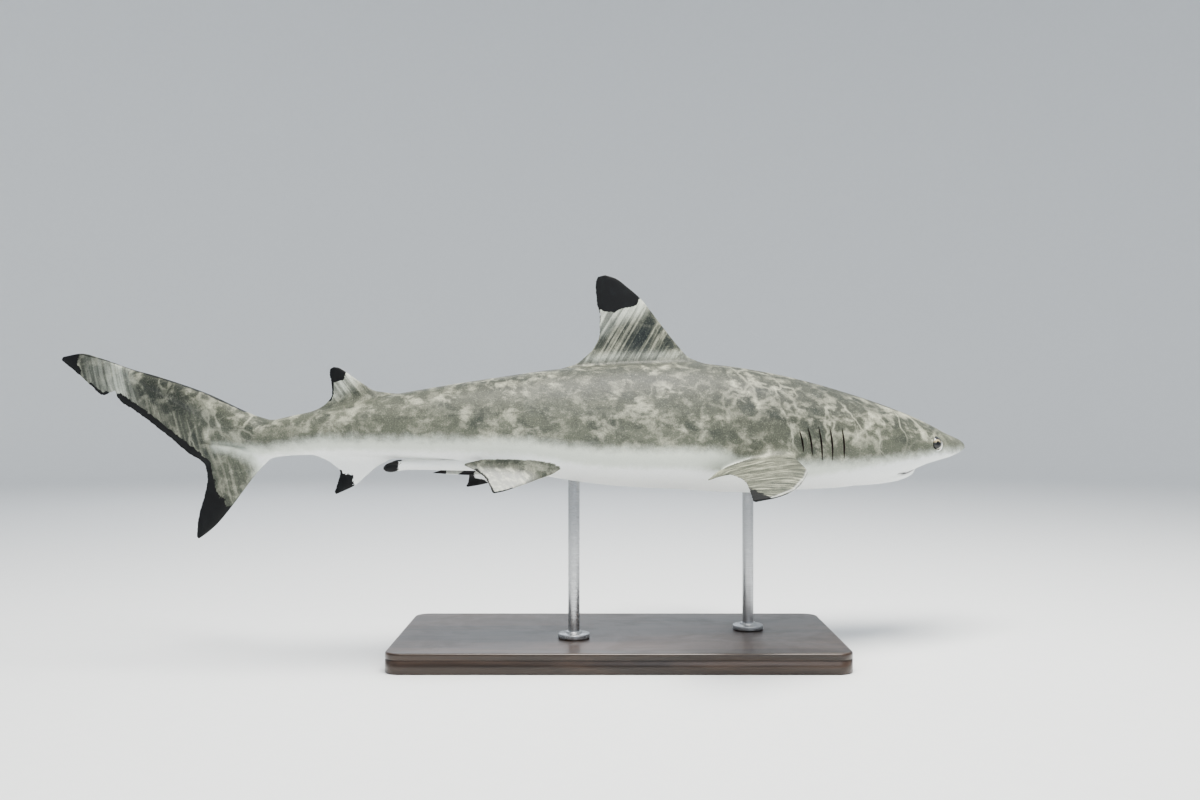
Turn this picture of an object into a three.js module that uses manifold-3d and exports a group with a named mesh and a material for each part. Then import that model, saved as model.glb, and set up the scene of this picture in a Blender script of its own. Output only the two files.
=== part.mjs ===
// Blacktip reef shark, adult male, swimming level on a plain display stand.
// Millimetres, +Z up, head towards +X, origin at the centre of the underside of the stand's base.
//
// The animal is drawn straight first, in body coordinates given in per cent of its total length:
// along = distance back from the snout tip, side = to the animal's left, up = above its axis.
// place() then bends that straight animal along the curve of its backbone.
import * as THREE from 'three';
import { mergeVertices } from 'three/addons/utils/BufferGeometryUtils.js';
import Module from 'manifold-3d';

const wasm = await Module();
wasm.setup();

// ---------------------------------------------------------------- driving dimensions
const TOTAL_LENGTH = 1400;               // snout tip to tail tip along the backbone
const AXIS_HEIGHT = 310;                 // body axis above the underside of the base
const BASE_STATION = 40;                 // per cent of the length that stands over the base's centre
const BASE_OFFSET_Y = -30;               // where the backbone crosses there, so the weight is central
const GAP = 0.3;                         // clearance between neighbouring solids
const EDGE_THICKNESS = 0.8;              // thinnest fin edge

const BASE = { length: 620, width: 300, height: 28, corner: 22, chamfer: 3, cornerSteps: 4 };
const ROD = { radius: 8, stations: { front: 26, rear: 44.5 }, sides: 20 };
const COLLAR = { radius: 22, height: 10, chamfer: 2 };

const EYE = { along: 6.4, up: -1.07, radius: 12, sunk: 8.9, sides: 14, rings: 9 };
const CUTS = { head: 17.4, gills: 24.6, trunk: 44, loin: 60, tail: 74.4 };   // where the body parts
const RING_SIDES = 24;
const FIN_CHORD_STEPS = 5;
const SLOPE_STEP = 0.004;                // share of a fin over which its slope is measured
const MERGE_DISTANCE = 1e-4;             // points closer than this are one

const UNIT = TOTAL_LENGTH / 100;         // one per cent of the length, in millimetres

// ---------------------------------------------------------------- curves
// A smooth curve through [position, value] pairs that never overshoots them.
function curve(pairs) {
  const x = pairs.map((pair) => pair[0]);
  const y = pairs.map((pair) => pair[1]);
  const last = x.length - 1;
  const slope = x.slice(1).map((value, i) => (y[i + 1] - y[i]) / (value - x[i]));
  const tangent = x.map((_, i) => {
    if (i === 0) return slope[0];
    if (i === last) return slope[last - 1];
    if (slope[i - 1] * slope[i] <= 0) return 0;
    const before = x[i] - x[i - 1];
    const after = x[i + 1] - x[i];
    const weightBefore = 2 * after + before;
    const weightAfter = after + 2 * before;
    return (weightBefore + weightAfter) / (weightBefore / slope[i - 1] + weightAfter / slope[i]);
  });
  return (at) => {
    const place = Math.min(Math.max(at, x[0]), x[last]);
    let i = 0;
    while (i < last - 1 && place > x[i + 1]) i += 1;
    const step = x[i + 1] - x[i];
    const t = (place - x[i]) / step;
    const stay = (1 + 2 * t) * (1 - t) ** 2;
    const leave = t * (1 - t) ** 2;
    const arrive = t * t * (t - 1);
    return stay * y[i] + step * leave * tangent[i] + (1 - stay) * y[i + 1] + step * arrive * tangent[i + 1];
  };
}

// ---------------------------------------------------------------- the bent backbone
// Heading of the backbone, in degrees to the animal's left of +X, at stations along the body.
const heading = curve([
  [0, 20], [15, 18], [30, 15.5], [45, 12], [60, 4], [75, -9], [88, -20], [100, -25],
]);

const BACKBONE_STEPS_PER_CENT = 4;

function traceBackbone() {
  const points = [new THREE.Vector2(0, 0)];
  for (let i = 1; i <= 100 * BACKBONE_STEPS_PER_CENT; i += 1) {
    const angle = THREE.MathUtils.degToRad(heading((i - 0.5) / BACKBONE_STEPS_PER_CENT));
    const forward = new THREE.Vector2(Math.cos(angle), Math.sin(angle));
    points.push(points[i - 1].clone().addScaledVector(forward, -UNIT / BACKBONE_STEPS_PER_CENT));
  }
  const centre = points[BASE_STATION * BACKBONE_STEPS_PER_CENT].clone();
  return points.map((point) => point.sub(centre).add(new THREE.Vector2(0, BASE_OFFSET_Y)));
}

const backbone = traceBackbone();

// Body coordinates (per cent) to millimetres in the part's frame.
function place(along, side, up) {
  const row = THREE.MathUtils.clamp(along * BACKBONE_STEPS_PER_CENT, 0, backbone.length - 1);
  const index = Math.min(Math.floor(row), backbone.length - 2);
  const point = backbone[index].clone().lerp(backbone[index + 1], row - index);
  const angle = THREE.MathUtils.degToRad(heading(along));
  const beyond = (row / BACKBONE_STEPS_PER_CENT - along) * UNIT;
  return new THREE.Vector3(
    point.x + beyond * Math.cos(angle) - side * UNIT * Math.sin(angle),
    point.y + beyond * Math.sin(angle) + side * UNIT * Math.cos(angle),
    AXIS_HEIGHT + up * UNIT,
  );
}

// ---------------------------------------------------------------- solids
// A closed solid through rings of points that all turn the same way, its ends closed by fans.
function loft(rings) {
  const sides = rings[0].length;
  const points = rings.flat();
  const faces = [];
  for (let i = 0; i < rings.length - 1; i += 1) {
    for (let j = 0; j < sides; j += 1) {
      const next = (j + 1) % sides;
      const a = i * sides + j;
      const b = i * sides + next;
      faces.push(a, b, b + sides, a, b + sides, a + sides);
    }
  }
  [0, rings.length - 1].forEach((ringIndex) => {
    const middle = points.length;
    const ring = rings[ringIndex];
    points.push(ring.reduce((sum, point) => sum.add(point), new THREE.Vector3()).divideScalar(sides));
    for (let j = 0; j < sides; j += 1) {
      const a = ringIndex * sides + j;
      const b = ringIndex * sides + (j + 1) % sides;
      if (ringIndex === 0) faces.push(middle, b, a);
      else faces.push(middle, a, b);
    }
  });
  const geometry = new THREE.BufferGeometry();
  const places = points.flatMap((point) => [point.x, point.y, point.z]);
  geometry.setAttribute('position', new THREE.Float32BufferAttribute(places, 3));
  geometry.setIndex(faces);
  const solid = toSolid(geometry);
  if (solid.volume() > 0) return solid;
  geometry.setIndex([...faces].reverse());
  return toSolid(geometry);
}

function toSolid(source) {
  const geometry = source.clone();
  geometry.deleteAttribute('normal');
  geometry.deleteAttribute('uv');
  const merged = mergeVertices(geometry, MERGE_DISTANCE);
  return new wasm.Manifold(new wasm.Mesh({
    numProp: 3,
    vertProperties: new Float32Array(merged.attributes.position.array),
    triVerts: new Uint32Array(merged.index.array),
  }));
}

// The main piece of a solid after its neighbours' clearances are cut away.
function cut(solid, ...clearances) {
  const rest = clearances.reduce((left, clearance) => left.subtract(clearance), solid);
  return rest.decompose().reduce((main, piece) => (piece.volume() > main.volume() ? piece : main));
}

function toGeometry(solid) {
  const mesh = solid.getMesh();
  const geometry = new THREE.BufferGeometry();
  geometry.setAttribute('position', new THREE.BufferAttribute(mesh.vertProperties.slice(), 3));
  geometry.setIndex(new THREE.BufferAttribute(mesh.triVerts.slice(), 1));
  return geometry;
}

// ---------------------------------------------------------------- the body's form
// Outline of the body in per cent: the back, the underside, half the width and the height of the
// widest level, each at stations behind the snout tip.
const back = curve([
  [0.1, -1.5], [0.4, -1.05], [1.64, -0.45], [2.94, 0], [5.5, 1.15], [8, 2.15], [11.7, 3.4], [15.4, 4.47],
  [18.9, 5.38], [23.5, 6.35], [28.9, 7.12], [33, 7.42], [38, 7.3], [45.9, 6.68], [51.9, 5.84], [56.4, 5.14],
  [60.7, 4.4], [64, 3.8], [68, 2.95], [70.5, 2.4], [72.5, 1.98], [74.4, 1.55],
]);
const underside = curve([
  [0.1, -1.5], [0.4, -1.72], [1.64, -2.18], [2.94, -2.55], [5.5, -3.1], [6.6, -3.35], [9.3, -4.3],
  [12.9, -5.25], [17.7, -5.69], [22.4, -5.8], [25, -5.97], [29.1, -5.84], [33.4, -5.5], [39.8, -5.08],
  [43.9, -4.57], [47.9, -3.85], [52, -2.95], [56, -2.45], [60, -2.2], [64, -2.02], [70, -1.78],
  [72.5, -1.87], [74.4, -2.1],
]);
const halfWidth = curve([
  [0.1, 0.1], [0.4, 0.9], [1.64, 2.2], [2.94, 3.1], [4.2, 3.75], [6.8, 4.6], [10.5, 5.35], [16, 6.05],
  [24, 6.4], [32, 6.3], [40, 5.8], [48, 4.9], [56, 3.8], [64, 2.7], [71, 1.95], [74.4, 1.72],
]);
const widestLevel = curve([
  [0.1, -1.5], [3, -1.75], [6, -1.85], [13, -2.2], [20, -2], [30, -1.7], [40, -1.4], [48, -0.6], [56, 0.1],
  [64, 0.5], [74.4, -0.2],
]);
// How square the section is: 2 is an ellipse, more has flatter sides and underside.
const squareAbove = curve([[0, 2], [6, 2.1], [16, 2.05], [30, 1.95], [74.4, 2]]);
const squareBelow = curve([[0, 2], [4, 2.7], [10, 2.6], [24, 2.3], [45, 2.2], [60, 2.1], [74.4, 2]]);

// The point at a turn of 0..2 pi round the body's section, grown outwards by a clearance.
function bodyPoint(along, turn, grow = 0) {
  const extra = grow / UNIT;
  const above = Math.sin(turn) >= 0;
  const level = widestLevel(along);
  const power = 2 / (above ? squareAbove(along) : squareBelow(along));
  const reach = above ? back(along) - level : level - underside(along);
  const across = Math.sign(Math.cos(turn)) * Math.abs(Math.cos(turn)) ** power;
  const lift = Math.sign(Math.sin(turn)) * Math.abs(Math.sin(turn)) ** power;
  return [(halfWidth(along) + extra) * across, level + (reach + extra) * lift];
}

function bodyRing(along, grow = 0) {
  return Array.from({ length: RING_SIDES }, (_, i) => {
    const [side, up] = bodyPoint(along, (i / RING_SIDES) * 2 * Math.PI, grow);
    return place(along, side, up);
  });
}

const HALF_CUT = GAP / 2 / UNIT;
const SNOUT_TIP = 0.1;

// The lengths that the body is parted into. Rings crowd towards the front where crowd is over 1.
const LENGTHS = {
  head: { from: SNOUT_TIP, to: CUTS.head - HALF_CUT, steps: 14, crowd: 1.7 },
  gill_region: { from: CUTS.head + HALF_CUT, to: CUTS.gills - HALF_CUT, steps: 4, crowd: 1 },
  trunk_front: { from: CUTS.gills + HALF_CUT, to: CUTS.trunk - HALF_CUT, steps: 10, crowd: 1 },
  trunk_rear: { from: CUTS.trunk + HALF_CUT, to: CUTS.loin - HALF_CUT, steps: 8, crowd: 1 },
  tail_stalk: { from: CUTS.loin + HALF_CUT, to: CUTS.tail - HALF_CUT, steps: 9, crowd: 1 },
};

function stations({ from, to, steps, crowd }) {
  return Array.from({ length: steps + 1 }, (_, i) => from + (to - from) * (i / steps) ** crowd);
}

function bodyLength(name) {
  return loft(stations(LENGTHS[name]).map((along) => bodyRing(along)));
}

// The whole body grown by the clearance, to cut what joins it.
const bodyClearance = loft(Object.values(LENGTHS).flatMap(stations).map((along) => bodyRing(along, GAP)));

// How far out the body's surface is at a station and level, on one side.
function surfaceSide(along, up) {
  const level = widestLevel(along);
  const above = up >= level;
  const power = above ? squareAbove(along) : squareBelow(along);
  const reach = above ? back(along) - level : level - underside(along);
  const part = Math.min(Math.abs(up - level) / reach, 1);
  return halfWidth(along) * (1 - part ** power) ** (1 / power);
}

// ---------------------------------------------------------------- fins
// A fin is a sheet between its front edge and its rear edge. Both edges are given from the root
// (0) to the tip (1) as [part, along, side, up], and the thickness as [part, millimetres].
function finSheet({ front, rear }) {
  const edge = (rows) => [1, 2, 3].map((column) => curve(rows.map((row) => [row[0], row[column]])));
  const frontEdge = edge(front);
  const rearEdge = edge(rear);
  return (part, chord) => new THREE.Vector3(
    ...[0, 1, 2].map((axis) => frontEdge[axis](part) * (1 - chord) + rearEdge[axis](part) * chord),
  );
}

// Half the thickness of a streamlined section at a part of its chord, for a full thickness of 1.
function streamline(chord) {
  const c = chord;
  return 5 * (0.2969 * Math.sqrt(c) - 0.126 * c - 0.3516 * c ** 2 + 0.2843 * c ** 3 - 0.1036 * c ** 4);
}

// The direction across a fin's sheet, at a part of its span and of its chord.
function sheetAcross(sheet, part, chord) {
  const [nearer, further] = [Math.max(chord - SLOPE_STEP, 0), Math.min(chord + SLOPE_STEP, 1)];
  const [inner, outer] = [Math.max(part - SLOPE_STEP, 0), Math.min(part + SLOPE_STEP, 1)];
  const alongChord = sheet(part, further).sub(sheet(part, nearer));
  const alongSpan = sheet(outer, chord).sub(sheet(inner, chord));
  return alongChord.cross(alongSpan).normalize();
}

// A fin's solid; grow widens it by a clearance all round.
function finSolid(fin, grow = 0) {
  const sheet = finSheet(fin);
  const thickness = curve(fin.thickness);
  const steps = FIN_CHORD_STEPS;
  const rings = fin.rows.map((part) => {
    const upper = [];
    const lower = [];
    const stretch = 1 + (2 * grow) / UNIT / sheet(part, 1).distanceTo(sheet(part, 0));
    for (let i = 0; i <= steps; i += 1) {
      const chord = 0.5 - 0.5 * Math.cos((i / steps) * Math.PI);
      const middle = sheet(part, 0.5 + (chord - 0.5) * stretch);
      const across = fin.across ?? sheetAcross(sheet, part, chord);
      const half = (thickness(part) * streamline(chord) + EDGE_THICKNESS / 2 + grow) / UNIT;
      upper.push(place(...middle.clone().addScaledVector(across, half)));
      lower.push(place(...middle.clone().addScaledVector(across, -half)));
    }
    return [...upper, ...lower.reverse()];
  });
  return loft(rings);
}

function mirrored(fin) {
  const flip = (rows) => rows.map(([part, along, side, up]) => [part, along, -side, up]);
  return { ...fin, front: flip(fin.front), rear: flip(fin.rear) };
}

const UPRIGHT = new THREE.Vector3(0, 1, 0);          // fins in the middle plane are thick sideways
const FIN_ROWS = [0, 0.05, 0.1, 0.16, 0.24, 0.34, 0.46, 0.58, 0.7, 0.8, 0.88, 0.94, 0.98, 1];

const firstDorsal = {
  front: [
    [0, 30.2, 0, 6.6], [0.05, 31, 0, 7.35], [0.12, 32.5, 0, 7.92], [0.2, 33.6, 0, 9],
    [0.35, 35.1, 0, 10.75], [0.5, 36.6, 0, 12.6], [0.65, 37.7, 0, 13.87], [0.8, 39, 0, 14.93],
    [0.92, 40.3, 0, 15.82], [1, 41.3, 0, 16.1],
  ],
  rear: [
    [0, 42.4, 0, 6.2], [0.05, 45.9, 0, 6.72], [0.12, 44.6, 0, 6.98], [0.2, 43.5, 0, 7.75],
    [0.35, 42.4, 0, 8.85], [0.5, 41.85, 0, 10.3], [0.65, 41.85, 0, 12], [0.8, 42.15, 0, 13.4],
    [0.92, 42.27, 0, 15.2], [1, 42.05, 0, 15.9],
  ],
  thickness: [[0, 22], [0.12, 16], [0.3, 10], [0.6, 7], [1, 2.5]],
  rows: FIN_ROWS,
  across: UPRIGHT,
};

const secondDorsal = {
  front: [
    [0, 61.5, 0, 3.4], [0.06, 62.4, 0, 4.25], [0.15, 64, 0, 4.45], [0.3, 65.05, 0, 5.05],
    [0.55, 66.2, 0, 5.8], [0.8, 67.2, 0, 6.5], [0.93, 67.7, 0, 6.75], [1, 68.1, 0, 6.8],
  ],
  rear: [
    [0, 67.8, 0, 2.6], [0.06, 70.9, -0.5, 2.1], [0.15, 70, -0.25, 2.5], [0.3, 68.9, 0, 3.18],
    [0.55, 68.25, 0, 4.2], [0.8, 68.35, 0, 5.4], [0.93, 68.5, 0, 6.2], [1, 68.45, 0, 6.6],
  ],
  thickness: [[0, 14], [0.15, 8], [0.4, 5], [1, 2]],
  rows: FIN_ROWS,
  across: UPRIGHT,
};

const anal = {
  front: [
    [0, 62.3, 0, -1.6], [0.08, 62.7, 0, -2.3], [0.18, 63.7, 0, -2.8], [0.35, 64.85, 0, -3.76],
    [0.6, 65.95, 0, -4.72], [0.82, 67, 0, -5.25], [1, 67.85, 0, -5.62],
  ],
  rear: [
    [0, 67.6, 0, -1.3], [0.08, 70, 0, -1.86], [0.18, 69, 0, -2.2], [0.35, 68.15, 0, -2.72],
    [0.6, 67.45, 0, -3.5], [0.82, 67.7, 0, -4.5], [1, 68, 0, -5.4],
  ],
  thickness: [[0, 14], [0.15, 8], [0.4, 5], [1, 2]],
  rows: FIN_ROWS,
  across: UPRIGHT,
};

const pectoralRight = {
  front: [
    [0, 22.8, -4.6, -1.75], [0.06, 23.7, -6.4, -2.15], [0.12, 24.1, -7.6, -2.4], [0.2, 24.3, -9, -2.7],
    [0.4, 24.9, -11.5, -3.15], [0.6, 26.2, -13.7, -3.7], [0.8, 28.6, -16.6, -4.55],
    [0.92, 31, -18.5, -4.97], [1, 33, -19.5, -5.15],
  ],
  rear: [
    [0, 28.8, -4.4, -2.9], [0.06, 31, -6, -3.22], [0.12, 32.85, -6.7, -3.62], [0.2, 31.4, -8.4, -3.53],
    [0.4, 31.2, -10.8, -3.75], [0.6, 31.6, -13.2, -3.95], [0.8, 32.35, -15.9, -4.3],
    [0.92, 33, -18.2, -4.78], [1, 33.35, -19.45, -5.12],
  ],
  thickness: [[0, 26], [0.1, 18], [0.25, 12], [0.6, 8], [1, 2]],
  rows: FIN_ROWS,
};

const pelvicRight = {
  front: [
    [0, 46, -4, -1.9], [0.12, 46.6, -4, -3.15], [0.35, 48.7, -4.5, -3.97], [0.6, 50.6, -5.4, -4.55],
    [0.85, 52.1, -6.2, -4.95], [1, 52.8, -6.5, -5.05],
  ],
  rear: [
    [0, 51, -3.3, -1.1], [0.12, 53.6, -3, -2.1], [0.22, 55.4, -3.1, -2.6], [0.35, 54.4, -3.7, -3.12],
    [0.6, 53.5, -4.9, -3.85], [0.85, 53.1, -6, -4.7], [1, 53, -6.4, -5],
  ],
  thickness: [[0, 20], [0.2, 11], [0.5, 6], [1, 2]],
  rows: FIN_ROWS,
};

// The left pelvic fin trails further back than the right one, with a longer free rear tip.
const pelvicLeft = {
  ...pelvicRight,
  front: [
    [0, 46, 4, -1.9], [0.12, 46.85, 4, -3.2], [0.35, 49.4, 4.5, -4.1], [0.6, 51.9, 5.4, -4.75],
    [0.85, 53.9, 6.2, -5.2], [1, 54.9, 6.5, -5.35],
  ],
  rear: [
    [0, 51, 3.3, -1.1], [0.12, 54.6, 3, -2.45], [0.22, 58.6, 3, -3.75], [0.35, 56, 3.7, -3.55],
    [0.6, 54.8, 4.9, -4.05], [0.85, 54.9, 6, -4.95], [1, 55.1, 6.4, -5.3],
  ],
};

// ---------------------------------------------------------------- tail fin
const upperMargin = curve([
  [74, 1.62], [74.65, 1.5], [77, 2.4], [81.45, 4.27], [84.3, 5.17], [87.3, 5.99], [90.2, 6.66],
  [93.8, 7.68], [97.4, 8.4], [98.8, 8.42], [100, 7.95],
]);

const upperLobe = {
  front: [
    [0, 74.3], [0.1, 76.6], [0.2, 79.2], [0.3, 81.45], [0.4, 83.9], [0.5, 86.3], [0.6, 88.7],
    [0.68, 90.6], [0.73, 91.5], [0.76, 92], [0.82, 93.3], [0.88, 94.8], [0.95, 97.2], [1, 99.7],
  ].map(([part, along]) => [part, along, 0, upperMargin(along)]),
  rear: [
    [0, 74.9, 0, -1.9], [0.1, 77.5, 0, -2.4], [0.2, 80.3, 0, -2.7], [0.3, 82.5, 0, -2.2],
    [0.4, 85.4, 0, -0.32], [0.5, 87.8, 0, 1.23], [0.6, 90, 0, 2.52], [0.68, 91.6, 0, 3.32],
    [0.73, 92.3, 0, 3.95], [0.76, 92.6, 0, 4.55], [0.82, 94.2, 0, 4.08], [0.88, 95.65, 0, 5],
    [0.95, 97.95, 0, 6.52], [1, 99.95, 0, 7.75],
  ],
  thickness: [[0, 24], [0.2, 14], [0.5, 9], [0.8, 6], [1, 1.5]],
  rows: [0, 0.06, 0.12, 0.2, 0.3, 0.4, 0.5, 0.6, 0.68, 0.73, 0.76, 0.79, 0.82, 0.88, 0.95, 0.985, 1],
  across: UPRIGHT,
};

const lowerLobe = {
  front: [
    [0, 73.9, 0, -1.4], [0.08, 74.6, 0, -2.25], [0.2, 75.9, 0, -3.55], [0.4, 77.3, 0, -5.3],
    [0.6, 78.7, 0, -7.05], [0.8, 80.3, 0, -8.8], [0.93, 81.5, 0, -9.75], [1, 82.2, 0, -10.2],
  ],
  rear: [
    [0, 83.6, 0, -0.6], [0.08, 82.5, 0, -2.05], [0.2, 81.5, 0, -2.95], [0.4, 81.25, 0, -4.3],
    [0.6, 81.6, 0, -6], [0.8, 82.15, 0, -7.7], [0.93, 82.4, 0, -9.1], [1, 82.45, 0, -10.05],
  ],
  thickness: [[0, 20], [0.2, 11], [0.5, 7], [1, 2]],
  rows: FIN_ROWS,
  across: UPRIGHT,
};

// All that lies ahead of the tail fin's root, as a block to cut its lobes off square.
const TAIL_BLOCK = { side: 4, up: 5 };

function aheadOfTail() {
  const { side, up } = TAIL_BLOCK;
  return loft([CUTS.loin, CUTS.tail + HALF_CUT].map((along) => (
    [place(along, -side, -up), place(along, side, -up), place(along, side, up), place(along, -side, up)]
  )));
}

// The fleshy end of the backbone, which runs up inside the upper lobe and thins out.
const TAIL_AXIS = { from: CUTS.tail, to: 93, steps: 9, sides: 12 };
const axisDepth = curve([[TAIL_AXIS.from, 3.62], [78, 3.5], [84, 2.4], [TAIL_AXIS.to, 0.9]]);
const axisWidth = curve([[TAIL_AXIS.from, 1.72], [78, 1.25], [84, 0.75], [TAIL_AXIS.to, 0.2]]);

function tailAxis(grow = 0) {
  const rings = [];
  for (let i = 0; i <= TAIL_AXIS.steps; i += 1) {
    const along = TAIL_AXIS.from + (TAIL_AXIS.to - TAIL_AXIS.from) * (i / TAIL_AXIS.steps);
    const top = upperMargin(along);
    const depth = axisDepth(along);
    rings.push(Array.from({ length: TAIL_AXIS.sides }, (_, j) => {
      const turn = (j / TAIL_AXIS.sides) * 2 * Math.PI;
      const side = (axisWidth(along) + grow / UNIT) * Math.cos(turn);
      return place(along, side, top - depth / 2 + (depth / 2 + grow / UNIT) * Math.sin(turn));
    }));
  }
  return loft(rings);
}

// ---------------------------------------------------------------- jaw, claspers, eyes, gills
const JAW = { from: 6.55, to: 15.5, buried: 0.5, lip: 0.05, square: 2.5, steps: 9, crowd: 1.4, sides: 16 };
const jawDrop = curve([[JAW.from, -4.15], [7.4, -4.66], [9.3, -5.05], [12.9, -5.42], [JAW.to, -5.5]]);
const jawHalfWidth = curve([
  [JAW.from, 0.6], [7, 1.5], [7.9, 2.5], [9.1, 3.4], [10.2, 4], [12.5, 3.9], [JAW.to, 3],
]);

function jawSolid() {
  const rings = [];
  for (let i = 0; i <= JAW.steps; i += 1) {
    const along = JAW.from + (JAW.to - JAW.from) * (i / JAW.steps) ** JAW.crowd;
    const top = underside(along) + JAW.buried;
    rings.push(Array.from({ length: JAW.sides }, (_, j) => {
      const turn = (j / JAW.sides) * 2 * Math.PI;
      const across = Math.sign(Math.cos(turn)) * Math.abs(Math.cos(turn)) ** (2 / JAW.square);
      const reach = Math.sin(turn) > 0 ? 0 : top - jawDrop(along);
      return place(along, jawHalfWidth(along) * across, top + (reach + JAW.lip) * Math.sin(turn));
    }));
  }
  return loft(rings);
}

const CLASPER = { side: 1.55, sides: 10, steps: 9, crowd: 1.3 };
const clasperPath = {
  along: curve([[0, 50.5], [0.2, 53], [1, 63]]),
  up: curve([[0, -2.3], [0.2, -2.75], [0.8, -2.72], [1, -3]]),
  radius: curve([[0, 0.55], [0.3, 0.54], [0.85, 0.44], [0.93, 0.5], [0.98, 0.36], [1, 0.12]]),
};

function clasperSolid(hand) {
  const rings = [];
  for (let i = 0; i <= CLASPER.steps; i += 1) {
    const part = 1 - (1 - i / CLASPER.steps) ** CLASPER.crowd;
    const radius = clasperPath.radius(part);
    rings.push(Array.from({ length: CLASPER.sides }, (_, j) => {
      const turn = (j / CLASPER.sides) * 2 * Math.PI;
      const side = hand * CLASPER.side + radius * Math.cos(turn);
      return place(clasperPath.along(part), side, clasperPath.up(part) + radius * Math.sin(turn));
    }));
  }
  return loft(rings);
}

function eyeCentre(hand) {
  const side = surfaceSide(EYE.along, EYE.up) - EYE.sunk / UNIT;
  return place(EYE.along, hand * side, EYE.up);
}

function eyeball(hand, grow = 0) {
  const geometry = new THREE.SphereGeometry(EYE.radius + grow, EYE.sides, EYE.rings);
  const centre = eyeCentre(hand);
  geometry.translate(centre.x, centre.y, centre.z);
  return toSolid(geometry);
}

// Five gill slits on each side: where each meets the widest part of the flank, and its two ends.
// The ends keep a share of the slit's width and depth.
const GILL = { width: 1.8, depth: 5, steps: 3, endWidth: 0.3, endDepth: 0.2 };
const GILL_SLITS = [
  { along: 18.4, lean: 0, top: 0.75, bottom: -2.3 },
  { along: 19.75, lean: 0.1, top: 0.88, bottom: -2.5 },
  { along: 20.95, lean: 0.2, top: 0.9, bottom: -2.45 },
  { along: 22.1, lean: 0.32, top: 0.9, bottom: -1.95 },
  { along: 23.05, lean: 0.3, top: 0.55, bottom: -1.6 },
];

function gillSlit(slit, hand) {
  const rings = [];
  for (let i = 0; i <= GILL.steps; i += 1) {
    const part = i / GILL.steps;
    const up = slit.top + (slit.bottom - slit.top) * part;
    const along = slit.along + slit.lean * (0.5 - part);
    const middle = Math.sin(part * Math.PI);
    const half = (GILL.width / 2 / UNIT) * (GILL.endWidth + (1 - GILL.endWidth) * middle);
    const depth = (GILL.depth / UNIT) * (GILL.endDepth + (1 - GILL.endDepth) * middle);
    const inner = surfaceSide(along, up) - depth;
    const outer = surfaceSide(along, up) + GILL.depth / UNIT;
    rings.push([[along - half, inner], [along + half, inner], [along + half, outer], [along - half, outer]]
      .map(([at, side]) => place(at, hand * side, up)));
  }
  return loft(rings);
}

// ---------------------------------------------------------------- stand
function rodPosition(station) {
  return place(station, 0, 0);
}

function roundedPlate({ length, width, height, corner, chamfer, cornerSteps }) {
  const outline = new THREE.Shape();
  const x = length / 2 - chamfer;
  const y = width / 2 - chamfer;
  const r = corner - chamfer;
  outline.moveTo(-x + r, -y);
  outline.lineTo(x - r, -y);
  outline.absarc(x - r, -y + r, r, -Math.PI / 2, 0);
  outline.lineTo(x, y - r);
  outline.absarc(x - r, y - r, r, 0, Math.PI / 2);
  outline.lineTo(-x + r, y);
  outline.absarc(-x + r, y - r, r, Math.PI / 2, Math.PI);
  outline.lineTo(-x, -y + r);
  outline.absarc(-x + r, -y + r, r, Math.PI, 1.5 * Math.PI);
  const geometry = new THREE.ExtrudeGeometry(outline, {
    depth: height - 2 * chamfer,
    bevelSize: chamfer,
    bevelThickness: chamfer,
    bevelSegments: 1,
    curveSegments: cornerSteps,
  });
  geometry.translate(0, 0, chamfer);
  return toSolid(geometry);
}

// A solid of revolution about a vertical line through the given point.
function turned(profile, at) {
  const points = profile.map(([radius, height]) => new THREE.Vector2(radius, height));
  const geometry = new THREE.LatheGeometry(points, ROD.sides);
  geometry.rotateX(Math.PI / 2);
  geometry.translate(at.x, at.y, 0);
  return toSolid(geometry);
}

function rodSolid(station) {
  const foot = BASE.height + COLLAR.height + GAP;
  const top = AXIS_HEIGHT;
  const rod = turned([[0, foot], [ROD.radius, foot], [ROD.radius, top], [0, top]], rodPosition(station));
  return rod.subtract(bodyClearance);
}

function collarSolid(station) {
  const { radius, height, chamfer } = COLLAR;
  const foot = BASE.height + GAP;
  const top = BASE.height + height;
  const profile = [[0, foot], [radius, foot], [radius, top - chamfer], [radius - chamfer, top], [0, top]];
  return turned(profile, rodPosition(station));
}

// ---------------------------------------------------------------- materials
function finish(colour, roughness, metalness = 0) {
  return new THREE.MeshStandardMaterial({ color: colour, roughness, metalness });
}

const MATERIALS = {
  skin: finish(0x7f7f6c, 0.5),
  fin: finish(0x767a6c, 0.5),
  clasper: finish(0xb9c0bf, 0.5),
  eye: finish(0x20242a, 0.08),
  wood: finish(0x1d1a18, 0.35),
  steel: finish(0xb8babc, 0.3, 1),
};

// ---------------------------------------------------------------- assembly
const shark = new THREE.Group();
const stand = new THREE.Group();
const model = new THREE.Group();
model.add(shark, stand);

function addPart(group, name, solid, material) {
  const mesh = new THREE.Mesh(toGeometry(solid), material);
  mesh.name = name;
  group.add(mesh);
}

const HANDS = { right: -1, left: 1 };

function headSolid() {
  let solid = bodyLength('head');
  Object.values(HANDS).forEach((hand) => {
    solid = solid.subtract(eyeball(hand, GAP));
  });
  return solid;
}

function gillRegionSolid() {
  let solid = bodyLength('gill_region');
  GILL_SLITS.forEach((slit) => Object.values(HANDS).forEach((hand) => {
    solid = solid.subtract(gillSlit(slit, hand));
  }));
  return solid;
}

addPart(shark, 'head', headSolid(), MATERIALS.skin);
addPart(shark, 'lower_jaw', cut(jawSolid(), bodyClearance), MATERIALS.skin);
addPart(shark, 'gill_region', gillRegionSolid(), MATERIALS.skin);
['trunk_front', 'trunk_rear', 'tail_stalk'].forEach((name) => {
  addPart(shark, name, bodyLength(name), MATERIALS.skin);
});

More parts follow.
